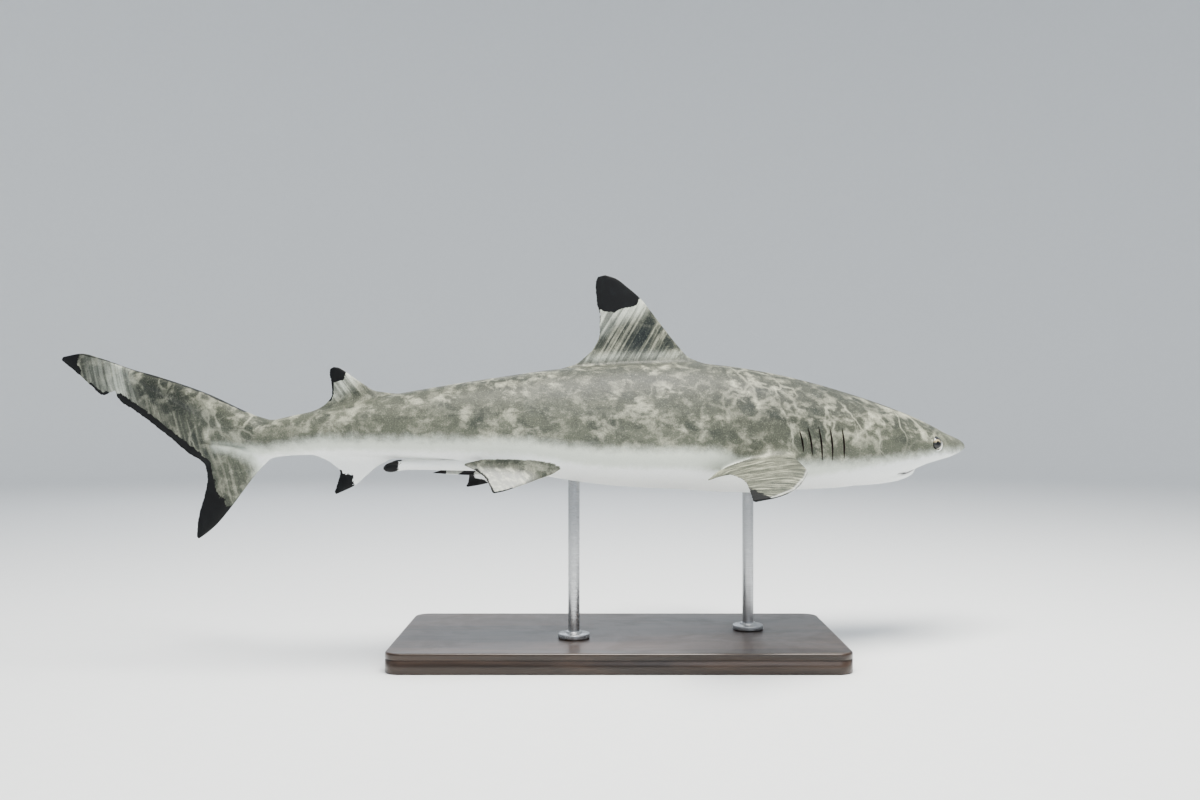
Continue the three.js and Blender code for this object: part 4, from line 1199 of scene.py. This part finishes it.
def denticle_group():
    """Skin teeth: a fine pebbled grain, and the slight unevenness of the hide below it."""
    def build(n, entry):
        grain = n.cells(n.stretch(entry["Vector"], (0.7, 1, 1)), entry["Grain"], 0.8)
        ripple = n.noise(n.stretch(entry["Vector"], (0.5, 1, 1)), 2.2, 4)
        height = n.plus(n.times(grain, 0.12), ripple)
        return {"Height": height, "Speckle": n.noise(entry["Vector"], 9.0, 5, 0.7)}
    return effect_group("denticle_grain", [("Vector", "Vector", None), ("Grain", "Float", 28.0)],
                        [("Height", "Float"), ("Speckle", "Float")], build)


def wear_group():
    """Fine dust, smears and hairline scratches of a handled thing."""
    def build(n, entry):
        smear = n.noise(n.stretch(entry["Vector"], (1, 1, 0.4)), 9.0, 5, 0.6, 0.4)
        hairs = n.noise(n.stretch(entry["Vector"], (4, 90, 90)), 3.0, 2)
        return {"Smear": n.ease(smear, 0.35, 0.75), "Scratch": n.ease(hairs, 0.62, 0.7)}
    return effect_group("handling_wear", [("Vector", "Vector", None)],
                        [("Smear", "Float"), ("Scratch", "Float")], build)


def finish(name, fill, **fixed):
    """A material with one Principled shader: fixed values on its own sockets, and fill's links."""
    material = bpy.data.materials.new(name)
    material.use_nodes = True
    tree = material.node_tree
    shader = next(node for node in tree.nodes if node.type == "BSDF_PRINCIPLED")
    n = Nodes(tree)
    for title, value in fixed.items():
        n.feed(shader.inputs[title.replace("_", " ")], value)
    for title, value in fill(n).items():
        n.feed(shader.inputs[title], value)
    return material


def hide_and_dapple_colour(n, look, body, station):
    """The hide's greys, darkest on the back, with clouds of painted shade, and pale patches and a net of
    painted light.
    """
    grey = n.field("grey")
    hide = n.blend(n.ease(grey, 0.2, 7.0), look.flank_colour, look.back_colour)
    # painted shade: darker clouds over the hide
    shade = n.noise(n.stretch(body, (0.6, 1, 1)), 0.4, 4, 0.6, 0.6)
    hide = n.blend(n.ease(shade, 0.45, 0.72, 0, look.dapple_strength * 1.15), hide, look.dark_and_shade_colour)
    # painted light: soft pale patches of dappled sunlight
    cloud = n.noise(n.stretch(body, (0.55, 1, 1)), 0.3, 2, 0.5)
    patch = n.noise(n.stretch(body, (0.8, 1, 1)), 0.85, 4, 0.6, 0.3)
    patch = n.times(n.ease(patch, 0.46, 0.7), n.ease(cloud, 0.35, 0.6, 0.45, 1))
    hide = n.blend(n.times(patch, look.dapple_strength * 0.9), hide, look.fleck_and_light_colour)
    # painted light: a pale net of wavy lines, the caustics of sunlight through water, strongest at the head
    # and the tail
    slanted = n.add("ShaderNodeMapping", {"Vector": n.warp(body, 0.45, 3.4), "Scale": (1, 1, 0.55),
                                          "Rotation": (0, look.caustic_slant, 0)})
    cells = n.add("ShaderNodeTexVoronoi", {"Vector": slanted, "Scale": 0.36}, feature="DISTANCE_TO_EDGE")
    ends = n.maths("MAXIMUM", n.ease(station, 22, 36, 1, 0.3), n.ease(station, 66, 78, 0.3, 1))
    net = n.times(n.ease(cells, 0.0, 0.1, 1, 0), n.ease(cloud, 0.42, 0.6, 0.1, 1),
                  n.ease(grey, 0.0, 2.5, 0.3, 1), ends, look.dapple_strength * 0.75)
    return n.blend(net, hide, look.fleck_and_light_colour)


def fin_markings(n, look, hide, body):
    """Fin rays, dusky places with painted shade on the first dorsal fin, and the pale band below a black
    tip, painted over the hide.
    """
    rays = n.noise(n.pack(n.field("ray"), n.axis(body, 1)), 1.9, 3, 0.55)
    fin_tone = n.blend(n.ease(rays, 0.36, 0.52), look.dark_and_shade_colour, look.flank_colour)
    fin_tone = n.blend(n.ease(rays, 0.5, 0.66), fin_tone, look.fleck_and_light_colour)
    hide = n.blend(n.times(n.field("fin"), 0.45), hide, fin_tone)
    # dusky places, with painted shade in the middle of the first dorsal fin
    dusk = n.times(n.field("dusk"), n.ease(rays, 0.38, 0.62, 0.95, 0.25))
    hide = n.blend(dusk, hide, look.dark_and_shade_colour)
    band = n.times(n.field("band"), n.ease(rays, 0.38, 0.6, 0.25, 0.85))
    return n.blend(band, hide, look.band_colour)


def counter_shading(n, look, hide, body, speckle):
    """A soft uneven border from the hide to a pale band, then to the white belly, and a fine grain of the
    skin teeth whose dark and pale specks paint their sheen.
    """
    uneven = n.centred_noise(body, 1.1, 5, 0.65)
    border = n.plus(n.field("grey"), n.times(uneven, 1.1))
    lower = n.plus(n.field("white"), n.times(uneven, 0.9))
    under = n.blend(n.ease(lower, -0.35, 0.45), look.belly_colour, look.band_colour)
    colour = n.blend(n.ease(border, -0.65, 0.85), under, hide)
    grain = n.times(n.ease(speckle, 0.42, 0.7), n.ease(border, -0.5, 0.6, 0.09, 0.4))
    colour = n.blend(grain, colour, look.dark_and_shade_colour)
    # painted sheen: pale specks on the skin teeth
    return n.blend(n.ease(speckle, 0.3, 0.45, 0.25, 0.0), colour, look.fleck_and_light_colour)


def black_tips(n, look, colour, body):
    """Black markings with a crisp, finely ragged border and lighter patches of painted sheen, painted over
    the rest.
    """
    steps = n.centred_noise(n.stretch(body, (1, 1, 0.7)), 2.1, 2, 0.6)
    teeth = n.centred_noise(body, 6.5, 2, 0.7)
    ragged = n.times(n.plus(steps, n.times(teeth, 0.7)), n.field("ragged"))
    # painted sheen: lighter patches in the black
    painted_sheen = n.ease(n.noise(body, 1.4, 5, 0.7), 0.5, 0.75, 0.0, 0.3)
    black = n.blend(painted_sheen, look.black_colour, look.dark_and_shade_colour)
    return n.blend(n.ease(n.plus(n.field("ink"), ragged), -0.035, 0.035), colour, black)


def skin_finish(look):
    """Fine matt-satin hide, painted by the fields stored on the mesh."""
    def fill(n):
        body = n.field("body", "Vector")
        station = n.axis(body, 0)
        height, speckle = (n.use(denticle_group(), {"Vector": body, "Grain": 28.0}, output)
                           for output in ("Height", "Speckle"))
        hide = hide_and_dapple_colour(n, look, body, station)
        seam = n.times(n.ease(n.maths("ABSOLUTE", n.field("lateral")), 0.03, 0.12, 1, 0),
                       n.ease(n.noise(body, 2.5, 2), 0.4, 0.55, 0.05, 0.28))
        hide = fin_markings(n, look, n.blend(seam, hide, look.dark_and_shade_colour), body)
        colour = counter_shading(n, look, hide, body, speckle)
        pores = n.ease(n.cells(body, 3.6), 0.07, 0.13, 0.55, 0)
        snout = n.ease(station, 5.5, 8.5, 1, 0)
        colour = n.blend(n.times(pores, snout), colour, look.dark_and_shade_colour)
        # pale places, with a painted highlight on the front of the eye's rim
        colour = n.blend(n.field("pale"), colour, look.belly_colour)
        colour = black_tips(n, look, colour, body)
        # painted shade inside the gill slits, mouth and nostrils, and along the mouth's crease
        painted_hollow_shade = n.maths("MAXIMUM", n.field("hollow"), n.times(n.field("crease"), 0.85))
        colour = n.blend(painted_hollow_shade, colour, look.hollow_shade_colour)
        height = n.maths("SUBTRACT", height, n.times(seam, 0.5))
        return {"Base Color": colour, "Roughness": n.ease(speckle, 0.3, 0.7, 0.46, 0.6),
                "Normal": n.relief(height, 0.0006, 0.5)}
    return finish("shark_hide", fill, Specular_IOR_Level=0.35, Coat_Weight=0.05, Coat_Roughness=0.3)


def eye_finish(look):
    """A wet eye with an upright oval pupil, its iris painted lit at the top and shaded below. Its places and
    sizes are in millimetres from its middle.
    """
    def fill(n):
        spot = n.field("gaze", "Vector")
        across, over = n.axis(spot, 0), n.axis(spot, 1)
        radius = n.maths("SQRT", n.plus(n.times(across, across), n.times(over, over)))
        wide = n.maths("DIVIDE", across, look.pupil_width / 2)
        tall = n.maths("DIVIDE", over, look.pupil_height / 2)
        oval = n.plus(n.times(wide, wide), n.times(tall, tall))
        angle = n.maths("ARCTAN2", over, across)
        spokes = n.noise(n.pack(n.times(angle, 3.0), n.times(radius, 0.25)), 4.0, 4)
        # painted light and shade: the iris lit at the top and shaded below
        lit = n.times(n.ease(spokes, 0.3, 0.6, 0.4, 1), n.ease(over, 1.2, 5.8, 0.02, 0.9))
        iris = n.blend(lit, look.shaded_iris_colour, look.lit_iris_colour)
        iris = n.blend(n.ease(radius, 6.4, 7.8), iris, look.rim_colour)
        return {"Base Color": n.blend(n.ease(oval, 0.85, 1.15, 1, 0), iris, look.pupil_colour)}
    return finish("wet_eye", fill, Roughness=0.12, Coat_Weight=1.0, Coat_Roughness=0.03, IOR=1.38)


def lid_finish(look):
    """Smooth damp skin of the third eyelid."""
    def fill(n):
        inputs = {"Vector": n.stretch(n.place(), (70, 70, 70)), "Grain": 20.0}
        grain = n.use(denticle_group(), inputs, "Speckle")
        return {"Base Color": n.blend(n.ease(grain, 0.3, 0.7, 0, 0.3), look.lid_colour, look.rim_colour)}
    return finish("eyelid_skin", fill, Roughness=0.35, Coat_Weight=0.3, Coat_Roughness=0.15)


def wood_finish(look):
    """Stained wood with its grain along X, under a satin lacquer."""
    def fill(n):
        spot = n.place()
        rings = n.noise(n.stretch(spot, (1.1, 14, 14)), 2.4, 6, 0.6, 1.2)
        pores = n.noise(n.stretch(spot, (12, 420, 420)), 1.0, 3)
        colour = n.blend(n.ease(rings, 0.3, 0.7), look.wood_dark, look.wood_colour)
        colour = n.blend(n.ease(pores, 0.55, 0.72, 0, 0.55), colour, look.wood_dark)
        rough = n.ease(n.use(wear_group(), {"Vector": spot}, "Smear"), 0, 1, 0.28, 0.4)
        return {"Base Color": colour, "Roughness": rough, "Normal": n.relief(pores, 0.0002, 0.25)}
    return finish("stained_wood", fill, Coat_Weight=0.35, Coat_Roughness=0.18)


def darker(colour, part=0.8):
    """The same colour with a part of its light."""
    return [part * channel for channel in colour]


def steel_finish(look):
    """Brushed steel, with fine lines round the rods."""
    def fill(n):
        spot = n.place()
        brushed = n.noise(n.stretch(spot, (60, 60, 2200)), 1.0, 2)
        smear, scratch = (n.use(wear_group(), {"Vector": spot}, output) for output in ("Smear", "Scratch"))
        colour = n.blend(n.ease(brushed, 0.3, 0.7), look.steel_colour, darker(look.steel_colour))
        rough = n.plus(n.ease(brushed, 0.3, 0.7, 0.2, 0.34), n.times(smear, 0.08))
        rough = n.plus(rough, n.times(scratch, 0.08))
        return {"Base Color": colour, "Roughness": rough, "Normal": n.relief(brushed, 0.0001, 0.2)}
    return finish("brushed_steel", fill, Metallic=1.0)


def floor_finish(look):
    """A plain pale floor, very slightly uneven."""
    def fill(n):
        fine = n.ease(n.noise(n.place(), 40.0, 4), 0.3, 0.7, 0, 0.06)
        return {"Base Color": n.blend(fine, look.floor_colour, darker(look.floor_colour))}
    return finish("studio_floor", fill, Roughness=0.7, Specular_IOR_Level=0.2)


# ---- pieces
def settled(piece, material, slot_name, replaced=()):
    """Finishes a piece: its material, smooth faces, the body it rides on and what it stands for."""
    piece.data.materials.clear()
    piece.data.materials.append(material)
    piece.data.shade_smooth()
    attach(piece, "root")
    if replaced:
        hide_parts(*replaced)


FLESH_NODES = ["head", "lower_jaw", "gill_region", "trunk_front", "trunk_rear", "tail_stalk",
               "tail_fin_upper_lobe", "tail_fin_lower_lobe", "first_dorsal_fin", "second_dorsal_fin",
               "anal_fin"]
FLESH_NODES += [f"{pair}_{hand}" for pair in ("pectoral_fin", "pelvic_fin", "clasper") for hand in HANDS]


def build_skin(look):
    """The whole skin, painted and finished, in place of every node of flesh."""
    skin = whole_skin()
    drop_crumbs(skin.data)
    paint_fields(skin)
    settled(skin, skin_finish(look), "skin", FLESH_NODES)


CORNEA_RISE = 0.045                     # of the eyeball's radius


def eyeball_piece(hand_name, material):
    """An eyeball with a domed cornea. gaze is each point's place across, over and out, in millimetres."""
    centre, forward, up, outward = eye_frame(HANDS[hand_name])
    fall = (np.linspace(0.004, 0.996, 60) * np.pi)[:, None]
    turn = circle_angles(96)
    radius = EYE["radius"] * (1 + CORNEA_RISE * smooth(np.cos(fall), 0.75, 1.0))
    local = globe(fall, turn) * radius[..., None]
    ball = closed_loft(centre + local @ np.array((forward, up, outward)), f"eyeball_{hand_name}")
    spots = np.concatenate((local.reshape(-1, 3), [local[0].mean(0)], [local[-1].mean(0)])) / MM
    ball.data.attributes.new("gaze", "FLOAT_VECTOR", "POINT").data.foreach_set("vector", spots.ravel())
    settled(ball, material, "eye", (f"eye_{hand_name}",))


LID = {"from": -115, "to": -12, "beyond": 0.7 * MM, "thin": 0.5 * MM, "wide": 2.6 * MM,
       "outer_lift": 0.65 * MM, "inner_lift": 0.15 * MM}     # angles are up from straight ahead


def lid_piece(hand_name, material):
    """The pale third eyelid: a thin crescent on the lower front of the eyeball."""
    centre, forward, up, outward = eye_frame(HANDS[hand_name])
    angle = np.radians(np.linspace(LID["from"], LID["to"], 60))[:, None, None]
    window = np.sin(np.linspace(0.02, 0.98, 60) * np.pi)[:, None]
    outer = EYE["opening"] + LID["beyond"]
    inner = outer - (LID["thin"] + LID["wide"] * window)
    across = np.linspace(0, 1, 9)
    rings = []
    for lift, spread in ((LID["outer_lift"], across), (LID["inner_lift"], across[::-1])):
        radius = (outer + (inner - outer) * spread)[..., None]
        depth = np.sqrt(np.maximum((EYE["radius"] + lift) ** 2 - radius ** 2, 0))
        rings.append(centre + radius * (np.cos(angle) * forward + np.sin(angle) * up) + depth * outward)
    lid = closed_loft(np.concatenate(rings, axis=1), f"eyelid_{hand_name}")
    settled(lid, material, "skin")


def build_eyes(look):
    """Both eyeballs and their lids."""
    eye, lid = eye_finish(look), lid_finish(look)
    for hand_name in HANDS:
        eyeball_piece(hand_name, eye)
        lid_piece(hand_name, lid)


def rounded_outline(half_x, half_y, corner, steps=14):
    """Points round a rectangle with arcs for corners."""
    turn = np.linspace(0, QUARTER_TURN, steps)
    arcs = []
    for quarter, (x, y) in enumerate(((1, 1), (-1, 1), (-1, -1), (1, -1))):
        angle = turn + quarter * QUARTER_TURN
        arcs.append(np.stack((x * (half_x - corner) + corner * np.cos(angle),
                              y * (half_y - corner) + corner * np.sin(angle)), axis=1))
    return np.concatenate(arcs)


# The groove round the base. Its bottom and top are parts of the base's height.
COVE = {"depth": 1.2 * MM, "slope": 0.8 * MM, "bottom": 0.62, "top": 0.7}


def base_piece(look, material):
    """The wooden base: a plate with rounded edges and a fine cove below the top edge."""
    low, high = (np.array(corner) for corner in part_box("stand_base"))
    half, height, edge = (high - low)[:2] / 2, high[2] - low[2], look.base_edge
    bottom, top, depth = height * COVE["bottom"], height * COVE["top"], COVE["depth"]
    profile = [(edge * 0.4, 0), (0, edge * 0.4), (0, bottom), (depth, bottom + COVE["slope"]),
               (depth, top - COVE["slope"]), (0, top)]
    profile += [(edge * (1 - math.cos(a)), height - edge + edge * math.sin(a))
                for a in np.linspace(0, QUARTER_TURN, 9)]
    rings = []
    for inset, level in profile:
        outline = rounded_outline(half[0] - inset, half[1] - inset, look.base_corner - inset)
        rings.append(np.column_stack((outline, np.full(len(outline), low[2] + level))))
    settled(closed_loft(np.array(rings), "wooden_base"), material, "stand_wood", ("stand_base",))


def turned_grid(profile, x, y, sides=96):
    """Rings of a shape turned about the vertical line at x, y, from (radius, height) pairs."""
    turn = circle_angles(sides)
    return np.array([np.column_stack((x + radius * np.cos(turn), y + radius * np.sin(turn),
                                      np.full(sides, level))) for radius, level in profile])


def rounded_profile(radius, low, high, edge, steps=6):
    """The side of a disc with rounded edges, bottom to top."""
    angle = np.linspace(0, QUARTER_TURN, steps)
    below = [(radius - edge + edge * math.sin(a), low + edge - edge * math.cos(a)) for a in angle]
    above = [(radius - edge + edge * math.cos(a), high - edge + edge * math.sin(a)) for a in angle]
    return [(radius * 0.2, low)] + below + above


ROD_SUNK = 4 * MM                       # how far a rod goes into the belly
ROD_EDGE = 1.5 * MM
COLLAR = {"step": 3.5 * MM, "step_height": 3 * MM, "edge": 1.2 * MM, "bevel": 0.6 * MM, "gap": 0.3 * MM}


def rod_piece(name, material):
    """A stepped collar, and the rod that rises from it into the belly."""
    low, high = (np.array(corner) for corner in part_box(f"stand_rod_{name}"))
    collar_low, collar_high = (np.array(corner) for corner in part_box(f"stand_collar_{name}"))
    x, y = (low + high)[:2] / 2
    radius, wide = (high[0] - low[0]) / 2, (collar_high[0] - collar_low[0]) / 2
    rod_top, top = high[2] + ROD_SUNK, collar_high[2]
    rod = rounded_profile(radius, collar_low[2], rod_top, ROD_EDGE) + [(radius * 0.2, rod_top)]
    step, shoulder = radius + COLLAR["step"], top - COLLAR["step_height"]
    edge, bevel = COLLAR["edge"], COLLAR["bevel"]
    collar = rounded_profile(wide, collar_low[2], shoulder, edge)
    collar += [(step + edge, shoulder), (step, shoulder + bevel), (step, top - bevel), (step - bevel, top),
               (radius + COLLAR["gap"], top), (radius * 0.2, top)]
    for kind, profile, sides in (("rod", rod, 64), ("collar", collar, 96)):
        piece = closed_loft(turned_grid(profile, x, y, sides), f"{kind}_{name}")
        settled(piece, material, "stand_steel", (f"stand_{kind}_{name}",))


def build_stand(look):
    """The base, and a rod and collar near each end of it."""
    base_piece(look, wood_finish(look))
    steel = steel_finish(look)
    for name in ("front", "rear"):
        rod_piece(name, steel)


def area_light(name, spot, size, power, colour):
    """A soft rectangular light aimed at the model."""
    light = bpy.data.lights.new(name, "AREA")
    light.shape = "RECTANGLE"
    light.size, light.size_y = size
    light.energy = power
    light.color = colour
    lamp = placed(name, light)
    lamp.location = spot
    lamp.rotation_euler = (MODEL_CENTRE - Vector(spot)).to_track_quat("-Z", "Y").to_euler()


def floor_bowl(look):
    """A flat round floor that curves up into a plain wall all round, far behind the model."""
    flat, bend, wall, sides = look.floor_radius, 1.6, 4.5, 128
    profile = [(0.4, 0), (flat * 0.5, 0), (flat, 0)]
    profile += [(flat + bend * math.sin(a), bend * (1 - math.cos(a)))
                for a in np.linspace(0, QUARTER_TURN, 17)[1:]]
    profile.append((flat + bend, wall))
    grid = turned_grid(profile, 0, 0, sides)
    index, quads = ring_quads(len(profile), sides)
    quads = quads[:, ::-1]
    mesh = bpy.data.meshes.new("floor")
    mesh.from_pydata(grid.reshape(-1, 3), [], quads.tolist() + [index[0].tolist()])
    mesh.materials.append(floor_finish(look))
    mesh.shade_smooth()
    floor = placed("floor", mesh)


MODEL_CENTRE = Vector((-0.1, 0.0, 0.3))
CAMERA_PLACE = (-0.025, -1.7197, 0.36)
WARM, COOL = srgb(255, 251, 242), srgb(240, 246, 255)


def build_stage(look):
    """The floor, a softbox overhead, a weak light before and behind, pale air and the camera."""
    floor_bowl(look)
    area_light("overhead_softbox", (0.3, -0.5, 2.5), (2.2, 1.2), look.key_power, WARM)
    area_light("front_fill", (0.9, -3.0, 1.6), (2.0, 1.4), look.fill_power, COOL)
    area_light("rear_fill", (-0.6, 2.8, 1.8), (2.0, 1.4), look.fill_power * 0.8, COOL)
    world = bpy.data.worlds.new("studio")
    world.use_nodes = True
    backdrop = world.node_tree.nodes["Background"]
    backdrop.inputs["Color"].default_value = (*look.air_colour, 1)
    backdrop.inputs["Strength"].default_value = look.air_strength
    bpy.context.scene.world = world
    lens = bpy.data.cameras.new("camera")
    lens.lens = look.lens
    lens.sensor_width = 36
    lens.clip_end = 100
    camera = placed("camera", lens)
    camera.location = CAMERA_PLACE
    camera.rotation_euler = (QUARTER_TURN, 0, 0)
    bpy.context.scene.camera = camera
    bpy.context.scene.view_settings.look = "AgX - Medium High Contrast"


# ---- settings a user would change
def colour_setting(name, default, description):
    """A colour that a user can change, given on the usual 0 to 255 scale."""
    return FloatVectorProperty(name=name, description=description, subtype="COLOR", size=3, min=0, max=1,
                               default=srgb(*default))


def number_setting(name, default, low, high, description, **kind):
    """A number that a user can change within limits."""
    return FloatProperty(name=name, description=description, default=default, min=low, max=high, **kind)


def length_setting(name, default, low, high, description):
    """A length in metres that a user can change within limits."""
    return number_setting(name, default, low, high, description, unit="LENGTH", subtype="DISTANCE")


class SharkSkinSettings(bpy.types.PropertyGroup):
    """Colours and markings of the hide, and its painted dappled light and shade"""
    back_colour: colour_setting("Back", (58, 61, 54), "Olive grey of the back")
    flank_colour: colour_setting("Flank", (97, 100, 88), "Lighter grey of the flanks")
    # Shade also paints the shade of the hide's dappled light, and Fleck its pale light and the sheen of the
    # skin teeth.
    dark_and_shade_colour: colour_setting("Shade", (28, 36, 38), "Darker clouds in the hide and between fin rays")
    fleck_and_light_colour: colour_setting("Fleck", (214, 214, 194), "Pale clouds and flecks in the hide")
    band_colour: colour_setting("Pale band", (212, 217, 206), "Band on the flank and below the black tips")
    belly_colour: colour_setting("Belly", (240, 242, 240), "White of the underside")
    black_colour: colour_setting("Fin tips", (7, 8, 11), "Black of the fin tips")
    # Painted shade inside the gill slits, mouth and nostrils, and along the mouth's crease.
    hollow_shade_colour: colour_setting("Slits", (40, 26, 26), "Inside of gill slits, mouth and nostrils")
    # Lean and strength of the painted dappled light and shade on the hide.
    caustic_slant: number_setting("Net slant", 0.5, -1.6, 1.6, "Lean of the hide's pale net", subtype="ANGLE",
                              unit="ROTATION")
    dapple_strength: number_setting("Mottling", 0.5, 0, 1, "Strength of the hide's clouds and flecks",
                             subtype="FACTOR")


class SharkEyeSettings(bpy.types.PropertyGroup):
    """Colours and pupil of the eyes"""
    # The iris is painted lit at the top and shaded below.
    lit_iris_colour: colour_setting("Iris", (206, 190, 152), "Light upper part of the iris")
    shaded_iris_colour: colour_setting("Iris shade", (26, 30, 32), "Dark lower part of the iris")
    rim_colour: colour_setting("Eye rim", (34, 36, 38), "Edge of the iris")
    pupil_colour: colour_setting("Pupil", (6, 7, 9), "Pupil")
    lid_colour: colour_setting("Lid", (226, 224, 208), "Third eyelid")
    pupil_width: number_setting("Pupil width", 5.6, 1, 10, "Width of the upright pupil in millimetres")
    pupil_height: number_setting("Pupil height", 9.6, 1, 14, "Height of the upright pupil in millimetres")


class SharkStandSettings(bpy.types.PropertyGroup):
    """Colours and edges of the display stand"""
    wood_colour: colour_setting("Wood", (74, 58, 48), "Stained wood")
    wood_dark: colour_setting("Wood grain", (34, 26, 22), "Dark grain of the wood")
    steel_colour: colour_setting("Steel", (196, 197, 199), "Rods and collars")
    base_edge: length_setting("Base edge", 0.003, 0.001, 0.01, "Rounding of the base's top edge")
    base_corner: length_setting("Base corner", 0.022, 0.012, 0.1, "Corner radius of the base")


class SharkStageSettings(bpy.types.PropertyGroup):
    """Floor, light and lens"""
    floor_colour: colour_setting("Floor", (226, 228, 230), "Pale floor")
    air_colour: colour_setting("Surroundings", (226, 232, 238), "Light from all around")
    floor_radius: length_setting("Floor radius", 4.2, 2, 20, "Radius of the flat part of the floor")
    air_strength: number_setting("Surroundings strength", 0.75, 0, 5, "Strength of the light all around")
    key_power: number_setting("Overhead light", 132, 0, 500, "Power of the overhead softbox", unit="POWER")
    fill_power: number_setting("Fill lights", 16, 0, 500, "Power of the two weak lights", unit="POWER")
    lens: number_setting("Lens", 36, 10, 200, "Focal length of the camera in millimetres",
                         subtype="DISTANCE_CAMERA")


class SHARK_OT_build_skin(bpy.types.Operator):
    """Build the shark's skin as one closed surface with its markings"""
    bl_idname = "shark.build_skin"
    bl_label = "Skin"

    def execute(self, context):
        build_skin(context.scene.shark_skin)
        return {"FINISHED"}


class SHARK_OT_build_eyes(bpy.types.Operator):
    """Build both eyeballs and their third eyelids"""
    bl_idname = "shark.build_eyes"
    bl_label = "Eyes"

    def execute(self, context):
        build_eyes(context.scene.shark_eyes)
        return {"FINISHED"}


class SHARK_OT_build_stand(bpy.types.Operator):
    """Build the wooden base with its two steel rods and collars"""
    bl_idname = "shark.build_stand"
    bl_label = "Stand"

    def execute(self, context):
        build_stand(context.scene.shark_stand)
        return {"FINISHED"}


class SHARK_OT_build_stage(bpy.types.Operator):
    """Build the floor, the lights and the camera"""
    bl_idname = "shark.build_stage"
    bl_label = "Stage"

    def execute(self, context):
        build_stage(context.scene.shark_stage)
        return {"FINISHED"}


class SHARK_PT_panel(bpy.types.Panel):
    """Lists the pieces of the model and their settings"""
    bl_label = "Blacktip reef shark"
    bl_idname = "SHARK_PT_panel"
    bl_space_type = "VIEW_3D"
    bl_region_type = "UI"
    bl_category = "Shark"

    def draw(self, context):
        for operator, group in BUILD_ORDER:
            box = self.layout.box()
            box.operator(operator.bl_idname)
            for name in SETTINGS[group].__annotations__:
                box.prop(getattr(context.scene, group), name)


SETTINGS = {
    "shark_skin": SharkSkinSettings,
    "shark_eyes": SharkEyeSettings,
    "shark_stand": SharkStandSettings,
    "shark_stage": SharkStageSettings,
}
BUILD_ORDER = (
    (SHARK_OT_build_stage, "shark_stage"),
    (SHARK_OT_build_skin, "shark_skin"),
    (SHARK_OT_build_eyes, "shark_eyes"),
    (SHARK_OT_build_stand, "shark_stand"),
)


def register():
    """Makes the settings, the operators and the panel known to Blender."""
    for name, settings in SETTINGS.items():
        bpy.utils.register_class(settings)
        setattr(bpy.types.Scene, name, PointerProperty(type=settings))
    for operator, _ in BUILD_ORDER:
        bpy.utils.register_class(operator)
    bpy.utils.register_class(SHARK_PT_panel)


def unregister():
    """Undoes register()."""
    bpy.utils.unregister_class(SHARK_PT_panel)
    for operator, _ in reversed(BUILD_ORDER):
        bpy.utils.unregister_class(operator)
    for name, settings in SETTINGS.items():
        delattr(bpy.types.Scene, name)
        bpy.utils.unregister_class(settings)


def main():
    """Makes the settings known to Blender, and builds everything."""
    register()
    bpy.ops.shark.build_stage()
    bpy.ops.shark.build_skin()
    bpy.ops.shark.build_eyes()
    bpy.ops.shark.build_stand()


if __name__ == "__main__":
    main()
